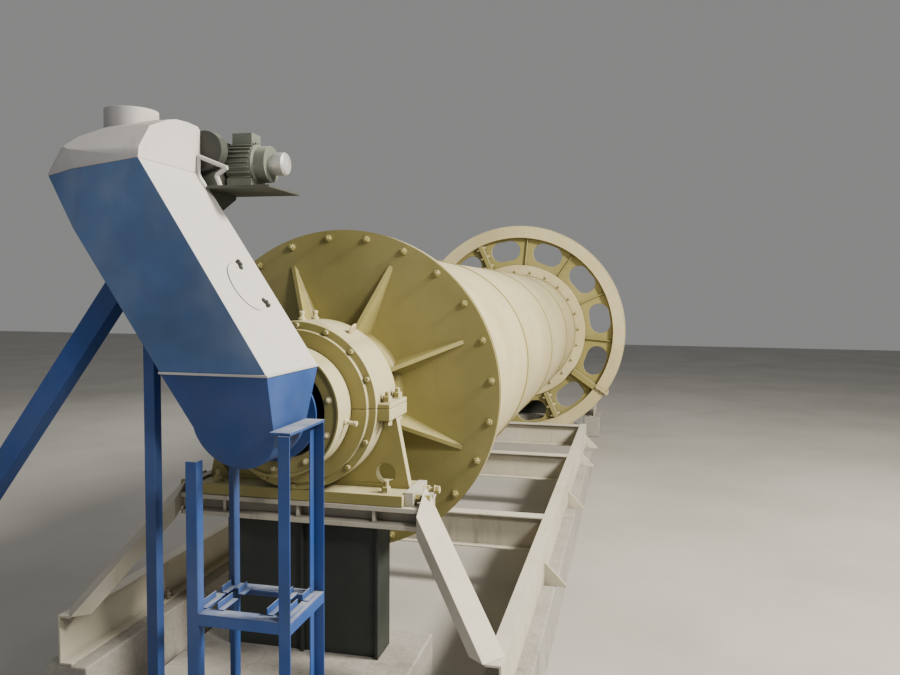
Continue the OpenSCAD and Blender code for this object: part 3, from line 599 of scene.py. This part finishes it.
def joint_lines():
    # A dark band in each flange joint, painted shade for the gap between the flanges.
    groove = Shape()
    for y, r in ((SHELL_Y0, 0.9204), (FAR_HEAD_FACE - FLANGE_T, 0.9704)):
        groove.lathe([(r - 0.004, y - 0.005), (r, y - 0.005), (r, y + 0.005), (r - 0.004, y + 0.005)],
                     DRUM_PLACE, sides=160, closed=True)
    piece("flange_joint_lines", groove, "cream_paint", "drum", material=MATERIALS["dark_steel"])


def ring_fitting():
    fitting = Shape()
    spot = on_drum(0.310, -8, low("near_end_ring").y + 0.085)
    out = outward(-8)
    fitting.lathe([(0.016, 0), (0.016, 0.012), (0.010, 0.016), (0.010, 0.050), (0.013, 0.052), (0.013, 0.064),
                   (0.007, 0.068)], aim(spot, out), sides=16)
    piece("ring_fitting", fitting, "cream_paint", "drum")


# Gear: the holed web with its ribs, and the plates and bolts where its two halves meet

GEAR_JOINTS = (115, 295)
WEB_T = 0.050
WEB_OUTER_R = 1.3624
WEB_BAR_INNER_R = 0.978
WEB_HOLE_R = 1.187
WEB_HOLE_H = 0.290
WEB_HOLE_W = 0.430
# Each bar: its angle, its thickness, how far it stands out and the radius where it ends
WEB_BARS = [(degrees, 0.014, 0.040, WEB_OUTER_R) for degrees in (-5, 25, 55, 85, 175, 205, 235, 265)]
WEB_BARS += [(degrees, 0.060, 0.090, 1.3615) for degrees in GEAR_JOINTS]
WEB_BARS += [(degrees, 0.080, 0.110, 1.3610) for degrees in (-35, 145)]


def slot_hole(middle_r, degrees, height, width):
    """A hole with round ends, longer along the circle than across it."""
    r = height / 2
    reach = width / 2 - r
    points = []
    for end in (1, -1):
        for k in range(17):
            a = math.pi * k / 16 + (0 if end > 0 else math.pi)
            points.append((middle_r + r * math.cos(a), end * reach + r * math.sin(a)))
    turn = math.radians(degrees)
    return [(x * math.cos(turn) - y * math.sin(turn), x * math.sin(turn) + y * math.cos(turn)) for x, y in points]


def gear_web():
    shape = Shape()
    loops = [circle(WEB_OUTER_R), circle(SHELL_R - 0.020)]
    loops += [slot_hole(WEB_HOLE_R, 10 + 30 * k, WEB_HOLE_H, WEB_HOLE_W) for k in range(12)]
    flat = [[(x, -z) for x, z in loop] for loop in loops]
    plate(shape, flat, WEB_T, Matrix.Translation((0, SHELL_Y1, 0)) @ DRUM_PLACE)
    for degrees, thick, out, reach in WEB_BARS:
        along = Matrix.Translation((0, 0, AXIS_Z)) @ Matrix.Rotation(-math.radians(degrees), 4, "Y")
        for y0, y1 in ((SHELL_Y1 - out, SHELL_Y1), (SHELL_Y1 + WEB_T, SHELL_Y1 + WEB_T + out)):
            shape.box((WEB_BAR_INNER_R, y0, -thick / 2), (reach - 0.0004, y1, thick / 2), along)
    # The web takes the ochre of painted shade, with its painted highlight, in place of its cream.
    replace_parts(piece("holed_web", shape, "cream_paint", "drum", rounding=0.003,
                      material=SHADE_AND_LIGHT_PAINT), "gear_web")


def gear_details():
    shape = Shape()
    for degrees in GEAR_JOINTS:
        for r in (1.040, 1.185, 1.325):
            for y in (SHELL_Y1 - 0.055, SHELL_Y1 + WEB_T + 0.055):
                for sign in (-1, 1):
                    spot = on_drum(r, degrees, y) + tangent(degrees) * sign * 0.030
                    bolt(shape, spot, tangent(degrees) * sign, 0.040, 0.014)
    piece("gear_joint_bolts", shape, "cream_paint", "drum")


# Bearings: split housings on a plate foot, with bolts at the split, the seal rings and the sole

# The name of each end, the plane of its bearing and the direction along Y away from the drum
BEARINGS = (("near", 0.0, -1), ("far", SPAN, 1))
HOUSING_BOLT_AF = 0.042
SPLIT_BOLT_X = 0.452
SPLIT_BOLT_Y = 0.085
SOLE_BOLT_X = 0.456
SOLE_BOLT_Y = 0.115
SEAL_BOLT_R = 0.402
JACK_Y = 0.090


def half_ring(shape, profile, y0, first):
    """Sweeps an outline of radius and Y through half a turn about the drum axis."""
    shape.strip([[on_drum(r, first + 180 * k / 60, y0 + y) for r, y in profile] for k in range(61)])


def bearing_housings():
    profile = [(JOURNAL_R, -SEAL_FACE), (SEAL_R, -SEAL_FACE), (SEAL_R, -HOUSING_FACE), (HOUSING_R, -HOUSING_FACE)]
    profile += [(r, -y) for r, y in profile[::-1]]
    for end, y0, _ in BEARINGS:
        cap, base, foot = Shape(), Shape(), Shape()
        half_ring(cap, profile, y0, 0)
        half_ring(base, profile, y0, 180)
        for side in (-1, 1):
            x0, x1 = sorted((side * (HOUSING_R - 0.012), side * (HOUSING_R + LUG_OUT)))
            near_y, far_y = y0 - LUG_HALF_W, y0 + LUG_HALF_W
            cap.box((x0, near_y, AXIS_Z + 0.0002), (x1, far_y, AXIS_Z + CAP_LUG))
            base.box((x0, near_y, AXIS_Z - BASE_LUG), (x1, far_y, AXIS_Z - 0.0002))
        base.box((-SOLE_HALF, y0 - SOLE_HALF_W, BEAM_TOP), (SOLE_HALF, y0 + SOLE_HALF_W, SOLE_TOP))
        outline = [(0.468, 0.0), (0.480, 0.060), (SOLE_HALF - 0.002, AXIS_Z - SOLE_TOP)]
        outline += [(-x, z) for x, z in outline[::-1]]
        turns = [math.pi * k / 40 for k in range(40, -1, -1)]
        outline += [(FOOT_SUNK_R * math.cos(a), FOOT_SUNK_R * math.sin(a)) for a in turns]
        holes = [circle(FOOT_HOLE_R, 48, (side * FOOT_HOLE[0], FOOT_HOLE[1])) for side in (-1, 1)]
        plate(foot, [outline] + holes, FOOT_T, Matrix.Translation((0, y0 - FOOT_T / 2, 0)) @ DRUM_PLACE)
        # The castings and the foot web take the ochre of painted shade, with its painted highlight.
        for name, shape, node in (("cap_casting", cap, "bearing_cap"), ("base_casting", base, "bearing_base")):
            casting = piece(f"{end}_{name}", shape, "olive_paint", "base", rounding=0.005, material=SHADE_AND_LIGHT_PAINT)
            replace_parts(casting, f"{end}_{node}")
        piece(end + "_foot_web", foot, "olive_paint", "base", rounding=0.003, material=SHADE_AND_LIGHT_PAINT)


def bearing_details():
    shape = Shape()
    for _, y0, _ in BEARINGS:
        for side in (-1, 1):
            for y in (-SPLIT_BOLT_Y, SPLIT_BOLT_Y):
                x = side * SPLIT_BOLT_X
                bolt(shape, (x, y0 + y, AXIS_Z + CAP_LUG), (0, 0, 1), HOUSING_BOLT_AF, 0.022)
                bolt(shape, (x, y0 + y, AXIS_Z - BASE_LUG), (0, 0, -1), HOUSING_BOLT_AF)
            for y in (-SOLE_BOLT_Y, SOLE_BOLT_Y):
                bolt(shape, (side * SOLE_BOLT_X, y0 + y, SOLE_TOP), (0, 0, 1), HOUSING_BOLT_AF, 0.030)
            for y in (-JACK_Y, JACK_Y):
                jack_screw(shape, side, y0 + y)
        for face in (-1, 1):
            ring_of_bolts(shape, SEAL_BOLT_R, y0 + face * HOUSING_FACE, face, 16, 21, 0.022, skip=(0, 180))
    # The bolts take the same painted shade and highlight.
    piece("bearing_bolts", shape, "olive_paint", "base", material=SHADE_AND_LIGHT_PAINT)


# Bearing supports: a narrow pedestal, a shallow beam with end stops, and raking struts

def beam(shape, y0):
    bottom = BEAM_TOP - BEAM_HEIGHT
    t = BEAM_PLATE
    for z in (bottom, BEAM_TOP - t):
        shape.box((-BEAM_HALF, y0 - BEAM_HALF_W, z), (BEAM_HALF, y0 + BEAM_HALF_W, z + t))
    for y in (-BEAM_HALF_W / 2, BEAM_HALF_W / 2):
        shape.box((-BEAM_HALF, y0 + y - t / 2, bottom + t), (BEAM_HALF, y0 + y + t / 2, BEAM_TOP - t))
    for x in (-0.632, -0.402, 0, 0.402, 0.632):
        shape.box((x - 0.008, y0 - 0.150, bottom + t), (x + 0.008, y0 + 0.150, BEAM_TOP - t))
    for side in (-1, 1):
        x0, x1 = sorted((side * (SOLE_HALF + 0.0003), side * STOP_X))
        shape.box((x0, y0 - 0.135, BEAM_TOP), (x1, y0 + 0.135, AXIS_Z - 0.408))


def pedestal(shape, y0):
    floor, top = high("near_plinth").z, BEAM_TOP - BEAM_HEIGHT
    shape.box((-0.410, y0 - 0.075, floor), (0.410, y0 + 0.075, top))
    for x in (-0.410, -0.008, 0.394):
        for y in (-0.099, 0.075):
            shape.box((x, y0 + y, floor), (x + 0.016, y0 + y + 0.024, top))


def strut(shape, side, y0, out):
    """A box bar cut off at the end of the beam and at the top of the rail."""
    top = Vector((BEAM_HALF - 0.010, -0.130, BEAM_TOP))
    run = Vector((1.030, -0.450, high("rail_right").z)) - top
    turn = Matrix.Rotation(math.atan2(run.y, run.x), 3, "Z")
    turn = turn @ Matrix.Rotation(math.atan2(-run.z, math.hypot(run.x, run.y)), 3, "Y")
    ahead = turn @ Vector((1, 0, 0))
    upper, lower = [], []
    rail_top = high("rail_right").z
    for a, b in ((-1, -1), (1, -1), (1, 1), (-1, 1)):
        corner = top + turn @ Vector((0, a * 0.066, b * 0.035))
        for section, t in ((upper, (BEAM_HALF - corner.x) / ahead.x), (lower, (rail_top - corner.z) / ahead.z)):
            p = corner + ahead * t
            section.append(Vector((side * p.x, y0 - out * p.y, p.z)))
    shape.strip([upper, lower])


def bearing_supports():
    for end, y0, out in BEARINGS:
        beams, legs, struts = Shape(), Shape(), Shape()
        beam(beams, y0)
        pedestal(legs, y0)
        for side in (-1, 1):
            strut(struts, side, y0, out)
        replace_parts(piece(end + "_support_beam", beams, "frame_paint", "base", rounding=0.0025), end + "_beam")
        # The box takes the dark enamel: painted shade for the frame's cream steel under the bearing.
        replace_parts(piece(end + "_support_box", legs, "dark_steel", "base", rounding=0.0025), end + "_pedestal")
        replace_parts(piece(end + "_raking_struts", struts, "frame_paint", "base", rounding=0.003), end + "_struts")


def jack_screw(shape, side, y):
    """A screw through the end stop that bears on the edge of the sole plate."""
    z = BEAM_TOP + 0.035
    start = Vector((side * (STOP_X - 0.002), y, z))
    end = Vector((side * (STOP_X + 0.068), y, z))
    shape.tube([start, end], 0.012, sides=14)
    for x in (STOP_X, STOP_X + 0.052):
        bolt(shape, (side * x, y, z), (side, 0, 0), 0.036)


def cap_fittings():
    shape = Shape()
    for _, y0, _ in BEARINGS:
        for y in (-0.085, 0.085):
            spot = on_drum(HOUSING_R - 0.002, 90, y0 + y)
            shape.lathe([(0.020, 0), (0.020, 0.014), (0.012, 0.018), (0.012, 0.034), (0.015, 0.036),
                         (0.015, 0.046), (0.008, 0.050)], aim(spot, (0, 0, 1)), sides=16)
        for degrees in (58, 122):
            ear = on_drum(HOUSING_R, degrees, y0)
            lifting_ear(shape, ear, outward(degrees))
    piece("cap_fittings", shape, "cream_paint", "base")


def lifting_ear(shape, spot, up):
    """A plate ring to lift the cap by."""
    place = aim(spot, up) @ Matrix.Rotation(math.radians(90), 4, "X")
    ring = [(0.018 + 0.016 * math.cos(a), 0.007 * math.sin(a)) for a in [2 * math.pi * k / 8 for k in range(8)]]
    shape.lathe(ring, place @ Matrix.Translation((0, 0.024, 0)), sides=24, closed=True)


# Steelwork: anchor bolts with their plates, and weld runs

GUSSET_Y = (1.130, 2.990, 4.680, 5.700)
ANCHOR_Y = (0.35, 1.35, 2.45, 3.35, 4.45, 5.35)


def weld(shape, start, end, size, a, b):
    """A fillet weld from start to end in the corner between directions a and b."""
    start, end, a, b = Vector(start), Vector(end), Vector(a), Vector(b)
    sections = []
    for p in (start, end):
        sections.append([p - (a + b) * 0.002, p + a * size, p + (a + b) * size * 0.42, p + b * size])
    shape.strip(sections)


def steelwork_details():
    welds = Shape()
    rail = high("rail_right")
    rail_low = low("rail_right")
    rail_x = rail.x - 0.150
    for side in (-1, 1):
        for y in GUSSET_Y:
            for face in (-1, 1):
                spot = Vector((side * rail_x, y + face * 0.007, rail_low.z))
                weld(welds, spot, spot + Vector((0, 0, 0.15)), 0.008, (side, 0, 0), (0, face, 0))
    piece("gusset_welds", welds, "frame_paint", "base")
    anchors = Shape()
    for side in (-1, 1):
        for y in ANCHOR_Y:
            spot = Vector((side * (rail_x - 0.046), y, rail_low.z + 0.012))
            anchors.box((-0.030, -0.035, 0), (0.024, 0.035, 0.008), Matrix.Translation(spot))
            bolt(anchors, spot + Vector((0, 0, 0.008)), (0, 0, 1), 0.030, 0.030)
    piece("anchor_bolts", anchors, "frame_paint", "base", material=STEEL)


# Gear guard: the bolts of its split and a rounded rim round each face

GUARD_BOLT_RADII = (1.40, 1.48, 1.555)


def guard_details():
    lower_y = low("gear_guard_upper").y
    y0 = lower_y + GUARD_BAR
    y1 = high("gear_guard_upper").y - GUARD_BAR
    shape = Shape()
    for degrees in (-GUARD_SPLIT, 180 - GUARD_SPLIT):
        across = tangent(degrees)
        for sign in (-1, 1):
            lift = across * sign * 0.012
            for y in (y0 + 0.05, y1 - 0.05):
                bolt(shape, on_drum(GUARD_R + 0.024, degrees, y) + lift, across * sign, 0.024, 0.008)
            for y in (y0 - 0.023, y1 + 0.023):
                for r in GUARD_BOLT_RADII:
                    bolt(shape, on_drum(r, degrees, y) + lift, across * sign, 0.024, 0.008)
    piece("guard_bolts", shape, "cream_paint", "base")
    rims = Shape()
    for y in (y0, y1):
        bead(rims, GUARD_R - 0.001, y, 0.0045)
        bead(rims, GUARD_LIP_R, y, 0.005)
    piece("guard_rims", rims, "cream_paint", "base")


# Feeder: the casing with its head and hatch, the stand and the drive on its back

def wall_place(along_y, up_slope):
    """A place on the casing's right wall: local Z out of the wall, local X towards +Y, local Y up the slope."""
    up = Vector((-math.sin(CASING_LEAN), 0, math.cos(CASING_LEAN)))
    out = Vector((math.cos(CASING_LEAN), 0, math.sin(CASING_LEAN)))
    across = Vector((0, 1, 0))
    spot = Vector((CASING_RIGHT, along_y, CASING_LOW)) + up * up_slope
    turn = Matrix((across, up, out)).transposed().to_4x4()
    return Matrix.Translation(spot) @ turn


X_AXIS = Vector((1, 0, 0))
Y_AXIS = Vector((0, 1, 0))
FEEDER_FRONT = low("feeder_casing").y
FEEDER_REAR = -0.492
CASING_TOP = [(-0.7753, 1.0436), (-0.3185, 1.1005)]
# The cut that takes the front left corner off the casing and its head
CORNER_CUT = (Vector((-0.625, FEEDER_FRONT, AXIS_Z)), Vector((-0.045, -0.150, 0)).normalized())


def feeder_casing():
    """The casing's two walls lean a little apart, and its top rises to the right."""
    casing = Shape()
    foot_z = CASING_LOW - AXIS_Z
    outline = [(CASING_LEFT, foot_z)] + CASING_TOP + [(CASING_RIGHT, foot_z)]
    planes = walls(outline, X_AXIS, closed=True)
    planes += walls([(FEEDER_FRONT, foot_z), (FEEDER_FRONT, 1.2)], Y_AXIS)
    planes += walls([(FEEDER_REAR, CASING_TOP[1][1]), (CASING_REAR, foot_z)], Y_AXIS)
    convex(casing, planes + [CORNER_CUT])
    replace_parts(piece("casing_panels", casing, "blue_paint", "base", rounding=0.003, material=CASING_PAINT),
                "feeder_casing")


def feeder_head():
    """A box with a folded roof and the collar of the inlet."""
    head = Shape()
    roof = [CASING_TOP[0], (-0.775, 1.055), (-0.698, 1.141), (-0.631, 1.203), (-0.466, 1.262), (-0.318, 1.314),
            CASING_TOP[1]]
    fold = [(FEEDER_FRONT, 1.04), (FEEDER_FRONT, 1.102), (-0.955, 1.145), (-0.879, 1.242), (-0.751, 1.292),
            (-0.683, 1.308), (-0.598, 1.314), (-0.513, 1.311), (-0.496, 1.301), (FEEDER_REAR, 1.290),
            (FEEDER_REAR, 1.04)]
    convex(head, walls(roof, X_AXIS, closed=True) + walls(fold, Y_AXIS) + [CORNER_CUT])
    inlet = frame["record"]["mounts"][2]["pos_m"]
    top = AXIS_Z + 1.340
    head.lathe([(0.112, top - 0.16), (0.112, top), (0.102, top), (0.102, top - 0.11), (0.100, top - 0.16)],
               Matrix.Translation((inlet[0], inlet[1], 0)), sides=64, closed=True)
    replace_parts(piece("head_panels", head, "dusty_paint", "base", rounding=0.003), "feeder_head")


def feeder_details():
    hatch = Shape()
    place = wall_place(-0.690, 0.418)
    hatch.lathe([(0.119, -0.002), (0.119, 0.0035), (0.117, 0.005), (0.0001, 0.006)], place, sides=72)
    piece("casing_hatch", hatch, "blue_paint", "base", material=CASING_PAINT)
    latches = Shape()
    for turn in (71, -50):
        latch = place @ Matrix.Rotation(math.radians(turn), 4, "Z") @ Matrix.Translation((0.112, 0, 0.004))
        latches.box((-0.022, -0.008, 0), (0.026, 0.008, 0.011), latch)
        latches.lathe([(0.007, 0.010), (0.007, 0.016), (0.004, 0.018)], latch, sides=12)
    piece("hatch_latches", latches, "blue_paint", "base", material=MATERIALS["dark_steel"])
    rim = Shape()
    left, right, front, rear = CASING_LEFT, CASING_RIGHT, FEEDER_FRONT, CASING_REAR
    out = 0.005
    z0, z1 = CASING_LOW - out, CASING_LOW + out
    rim.box((left - out, front - out, z0), (right + out, front + 0.001, z1))
    rim.box((left - out, rear - 0.001, z0), (right + out, rear + out, z1))
    rim.box((left - out, front, z0), (left + 0.001, rear, z1))
    rim.box((right - 0.001, front, z0), (right + out, rear, z1))
    piece("boot_rim", rim, "dusty_paint", "base", rounding=0.002)


def motor(body, bright, centre, length, radius, direction, fins, fin_h):
    """A finned motor about a level line: fins, end shields and the fan cowl."""
    place = aim(centre, direction)
    for k in range(fins):
        turn = place @ Matrix.Rotation(2 * math.pi * k / fins, 4, "Z")
        body.box((radius - 0.004, -0.0022, length * 0.16), (radius + fin_h, 0.0022, length * 0.70), turn)
    body.lathe([(radius + fin_h * 0.9, length * 0.02), (radius + fin_h * 0.9, length * 0.13),
                (radius - 0.01, length * 0.15), (radius - 0.01, length * 0.01)], place, sides=48, closed=True)
    body.lathe([(radius + fin_h * 0.6, length * 0.71), (radius + fin_h * 0.6, length * 0.75),
                (radius - 0.01, length * 0.76), (radius - 0.01, length * 0.70)], place, sides=48, closed=True)
    bright.lathe([(radius + fin_h * 0.7, length * 0.76), (radius + fin_h * 0.7, length * 0.94),
                  (radius * 0.94, length * 0.985), (radius * 0.60, length), (0.01, length)], place, sides=48)


STAND_FRONT = low("feeder_stand").y
STAND_REAR = STAND_FRONT + 0.360
LEG_W = 0.050
LEG_T = 0.006
HEELS = (-0.087, 0.270)


def side_box(shape, heel, a, b, y0, y1, z0, z1):
    """A box that reaches from a to b outwards from the heel line of the left or right legs."""
    sign = -1 if heel < 0 else 1
    x0, x1 = sorted((heel + sign * a, heel + sign * b))
    shape.box((x0, min(y0, y1), z0), (x1, max(y0, y1), z1))


def feeder_stand():
    """Four angle legs with their heels inwards, and a ledge beside the boot."""
    legs = Shape()
    floor = high("near_plinth").z
    for heel in HEELS:
        for y, sign in ((STAND_FRONT, 1), (STAND_REAR, -1)):
            top = AXIS_Z - (0.125 if heel < 0 else 0.002)
            side_box(legs, heel, 0, LEG_W, y, y + sign * LEG_T, floor, top)
            side_box(legs, heel, 0, LEG_T, y + sign * LEG_T, y + sign * LEG_W, floor, top)
    legs.box((0.228, STAND_FRONT + 0.012, AXIS_Z - 0.002), (0.318, STAND_REAR + 0.012, AXIS_Z + 0.010))
    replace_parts(piece("stand_angles", legs, "blue_paint", "base", rounding=0.0015), "feeder_stand")


def stand_shelf():
    """Angles between the legs, with cleats on top."""
    shelf = Shape()
    top = high("stand_shelf").z
    for y, sign in ((STAND_FRONT, 1), (STAND_REAR, -1)):
        for reach, z0, z1 in ((LEG_T, top - LEG_W, top - LEG_T), (0.064, top - LEG_T, top)):
            y0, y1 = sorted((y, y + sign * reach))
            shelf.box((HEELS[0], y0, z0), (HEELS[1], y1, z1))
    front, rear = STAND_FRONT + LEG_T, STAND_REAR - LEG_T
    for heel in HEELS:
        side_box(shelf, heel, 0, LEG_W, STAND_FRONT + LEG_W, STAND_REAR - LEG_W, top - LEG_T, top)
        side_box(shelf, heel, LEG_T, LEG_W, front, STAND_FRONT + LEG_W, top - LEG_T, top)
        side_box(shelf, heel, LEG_T, LEG_W, STAND_REAR - LEG_W, rear, top - LEG_T, top)
        side_box(shelf, heel, LEG_W - LEG_T, LEG_W, front, rear, top - LEG_W, top - LEG_T)
    for x in (-0.107, -0.029, 0.192, 0.270):
        for y0, y1 in ((-0.890, -0.765), (-0.715, -0.634)):
            shelf.box((x + 0.005, y0, top), (x + 0.030, y1, top + 0.005))
            shelf.box((x, y0, top), (x + 0.005, y1, top + 0.030))
    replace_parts(piece("shelf_angles", shelf, "blue_paint", "base", rounding=0.0012), "stand_shelf")


FEEDER_PLATE_Z = AXIS_Z + 1.030
FEEDER_PLATE_TOP = FEEDER_PLATE_Z + 0.012


def drive_bracket():
    """The plate behind the casing, on two brackets."""
    plate = Shape()
    rear = -0.200
    face = -0.4880
    plate.box((-0.420, face, FEEDER_PLATE_Z), (0.040, rear, FEEDER_PLATE_TOP))
    plate.box((-0.268, -0.532, FEEDER_PLATE_Z), (0.040, face, FEEDER_PLATE_TOP))
    for x in (-0.406, -0.296):
        turn = Matrix.Translation((x, 0, 0)) @ Matrix(((0, 0, 1, 0), (1, 0, 0, 0), (0, 1, 0, 0), (0, 0, 0, 1)))
        plate.prism([(face + 0.009, FEEDER_PLATE_Z - 0.150), (rear - 0.02, FEEDER_PLATE_Z - 0.016),
                     (rear - 0.02, FEEDER_PLATE_Z), (face, FEEDER_PLATE_Z)], 0.012, turn)
    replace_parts(piece("drive_bracket", plate, "blue_paint", "base", rounding=0.0015,
                      material=MATERIALS["dark_steel"]), "feeder_motor_plate")


def head_stay():
    frame_bar = Shape()
    corners = [(-0.316, 1.086), (-0.310, 1.176), (-0.170, 1.121), (-0.222, 1.089), (-0.204, 1.042)]
    for a, b in zip(corners, corners[1:]):
        frame_bar.tube([(a[0], -0.520, AXIS_Z + a[1]), (b[0], -0.520, AXIS_Z + b[1])], 0.010)
    piece("head_stay", frame_bar, "dusty_paint", "base")


def belt_cover():
    cover = Shape()
    big, small = (-0.547, 1.172, 0.096), (-0.300, 1.210, 0.089)
    lean = math.degrees(math.atan2(small[1] - big[1], small[0] - big[0]))
    outline = []
    for (x, z, r), first in ((big, 90), (small, -90)):
        for k in range(25):
            a = math.radians(first + lean + 7.5 * k)
            outline.append((x + r * math.cos(a), -AXIS_Z - z - r * math.sin(a)))
    upright = Matrix.Translation((0, -0.4912, 0)) @ Matrix.Rotation(math.radians(-90), 4, "X")
    cover.prism(outline[::-1], 0.060, upright)
    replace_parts(piece("belt_cover", cover, "dark_steel", "base", rounding=0.004), "belt_guard")


def geared_motor():
    """The motor lies along X across the back of the casing."""
    body, bright, radius = Shape(), Shape(), 0.094
    centre = Vector((-0.250, -0.322, AXIS_Z + 1.163))
    body.box((-0.350, -0.4309, FEEDER_PLATE_TOP), (-0.250, -0.250, AXIS_Z + 1.262))
    body.box((-0.238, -0.400, FEEDER_PLATE_TOP), (-0.112, -0.244, FEEDER_PLATE_TOP + 0.05))
    along = aim(centre, (1, 0, 0))
    body.lathe([(0.080, -0.002), (radius, 0.012), (radius, 0.140), (0.085, 0.149), (0.085, 0.204)], along, sides=48)
    for k in range(26):
        turn = along @ Matrix.Rotation(2 * math.pi * k / 26, 4, "Z")
        body.box((radius - 0.004, -0.0022, 0.020), (radius + 0.010, 0.0022, 0.132), turn)
    terminals = centre + Vector((0.075, 0, radius - 0.006))
    body.box((-0.05, -0.045, 0), (0.05, 0.045, 0.055), Matrix.Translation(terminals))
    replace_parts(piece("geared_motor", body, "motor_paint", "base", rounding=0.0012), "feeder_motor")
    bright.lathe([(0.050, 0.203), (0.050, 0.228), (0.054, 0.230), (0.054, 0.272), (0.046, 0.281), (0.0001, 0.282)],
                 along, sides=48)
    piece("motor_end_cap", bright, "motor_paint", "base", material=COWL)


def drive_details():
    lo, hi = low("drive_motor"), high("drive_motor")
    radius = 0.225
    centre_x = (low("reducer").x + high("reducer").x) / 2
    shaft_z = high("pinion_bearings").z - 0.120
    body, bright = Shape(), Shape()
    motor(body, bright, Vector((centre_x, hi.y, shaft_z)), hi.y - lo.y, radius, (0, -1, 0), fins=44, fin_h=0.022)
    piece("drive_motor_fins", body, "motor_paint", "base", rounding=0.0015)
    piece("drive_motor_cowl", bright, "motor_paint", "base", material=MATERIALS["motor_paint"])
    bolts = Shape()
    reducer_lo, reducer_hi = low("reducer"), high("reducer")
    for y in [reducer_lo.y + 0.045 + k * (reducer_hi.y - reducer_lo.y - 0.09) / 4 for k in range(5)]:
        for x in (-0.235, 0.235):
            bolt(bolts, (centre_x + x, y, shaft_z + 0.018), (0, 0, 1), 0.024, 0.010)
            bolt(bolts, (centre_x + x, y, shaft_z - 0.018), (0, 0, -1), 0.024, 0.006)
    block_lo, block_hi = low("pinion_bearings"), high("pinion_bearings")
    for y in (block_lo.y + 0.08, block_hi.y - 0.08):
        for x in (-0.155, 0.155):
            bolt(bolts, (centre_x + x, y, block_lo.z + 0.040), (0, 0, 1), 0.036, 0.016)
    piece("drive_bolts", bolts, "motor_paint", "base", material=STEEL)


# Stage: floor, lights and camera

def stage():
    size = 30
    mesh = bpy.data.meshes.new("floor")
    mesh.from_pydata([(-size, -size, 0), (size, -size, 0), (size, size, 0), (-size, size, 0)], [], [(0, 1, 2, 3)])
    floor = bpy.data.objects.new("floor", mesh)
    bpy.context.scene.collection.objects.link(floor)
    p = Paint("floor_paint", specular=0.3)
    colour = p.mix(p.spread(p.noise(0.6, 4, 0.6), 0.3, 0.7), (0.40, 0.385, 0.365), (0.34, 0.33, 0.31))
    p.bump((p.noise(30, 4, 0.6), 0.05, 0.002),)
    mesh.materials.append(p.finish(colour, 0.7))


def area_light(name, place, target, size, energy, colour):
    data = bpy.data.lights.new(name, "AREA")
    data.shape = "DISK"
    data.size = size
    data.energy = energy
    data.color = colour
    light = bpy.data.objects.new(name, data)
    light.location = place
    light.rotation_mode = "QUATERNION"
    light.rotation_quaternion = (Vector(place) - Vector(target)).to_track_quat("Z", "Y")
    bpy.context.scene.collection.objects.link(light)


def lights():
    area_light("key", (7.5, 0.5, 7.0), (0, 2.8, 1.4), 2.2, 2200, (1.0, 0.94, 0.80))
    area_light("near_key", (5.0, -3.2, 5.0), (-0.4, -0.6, 1.9), 1.2, 240, (1.0, 0.96, 0.88))
    area_light("front_fill", (-3.5, -7.0, 4.5), (-0.2, 0.0, 1.5), 4.0, 45, (0.93, 0.96, 1.0))
    area_light("far_fill", (-6.0, 9.0, 6.0), (0, 4.0, 1.5), 4.0, 200, (1.0, 0.96, 0.90))
    world = bpy.data.worlds.new("studio")
    world.use_nodes = True
    back = world.node_tree.nodes["Background"]
    back.inputs["Color"].default_value = (0.86, 0.86, 0.85, 1)
    back.inputs["Strength"].default_value = 0.29
    bpy.context.scene.world = world


CAMERA_PLACE = (1.619, -3.790, 2.155)
CAMERA_YAW = math.radians(12.96)
CAMERA_PITCH = math.radians(3.32)
CAMERA_ROLL = math.radians(0.45)
CAMERA_LENS = 31.55


def camera():
    data = bpy.data.cameras.new("view")
    data.lens = CAMERA_LENS
    data.sensor_width = 36
    data.clip_start = 0.05
    data.clip_end = 200
    cam = bpy.data.objects.new("view", data)
    ahead = Vector((-math.sin(CAMERA_YAW) * math.cos(CAMERA_PITCH), math.cos(CAMERA_YAW) * math.cos(CAMERA_PITCH),
                    -math.sin(CAMERA_PITCH)))
    level = Vector((math.cos(CAMERA_YAW), math.sin(CAMERA_YAW), 0))
    above = level.cross(ahead)
    right = level * math.cos(CAMERA_ROLL) + above * math.sin(CAMERA_ROLL)
    up = above * math.cos(CAMERA_ROLL) - level * math.sin(CAMERA_ROLL)
    turn = Matrix((right, up, -ahead)).transposed().to_4x4()
    cam.matrix_world = Matrix.Translation(CAMERA_PLACE) @ turn
    bpy.context.scene.collection.objects.link(cam)
    bpy.context.scene.camera = cam


drum_bolts()
both_head_fillets()
shell_seams()
joint_lines()
ring_fitting()
gear_web()
gear_details()
bearing_housings()
bearing_details()
bearing_supports()
cap_fittings()
steelwork_details()
guard_details()
feeder_casing()
feeder_head()
feeder_details()
feeder_stand()
stand_shelf()
drive_bracket()
head_stay()
belt_cover()
geared_motor()
drive_details()
stage()
lights()
camera()
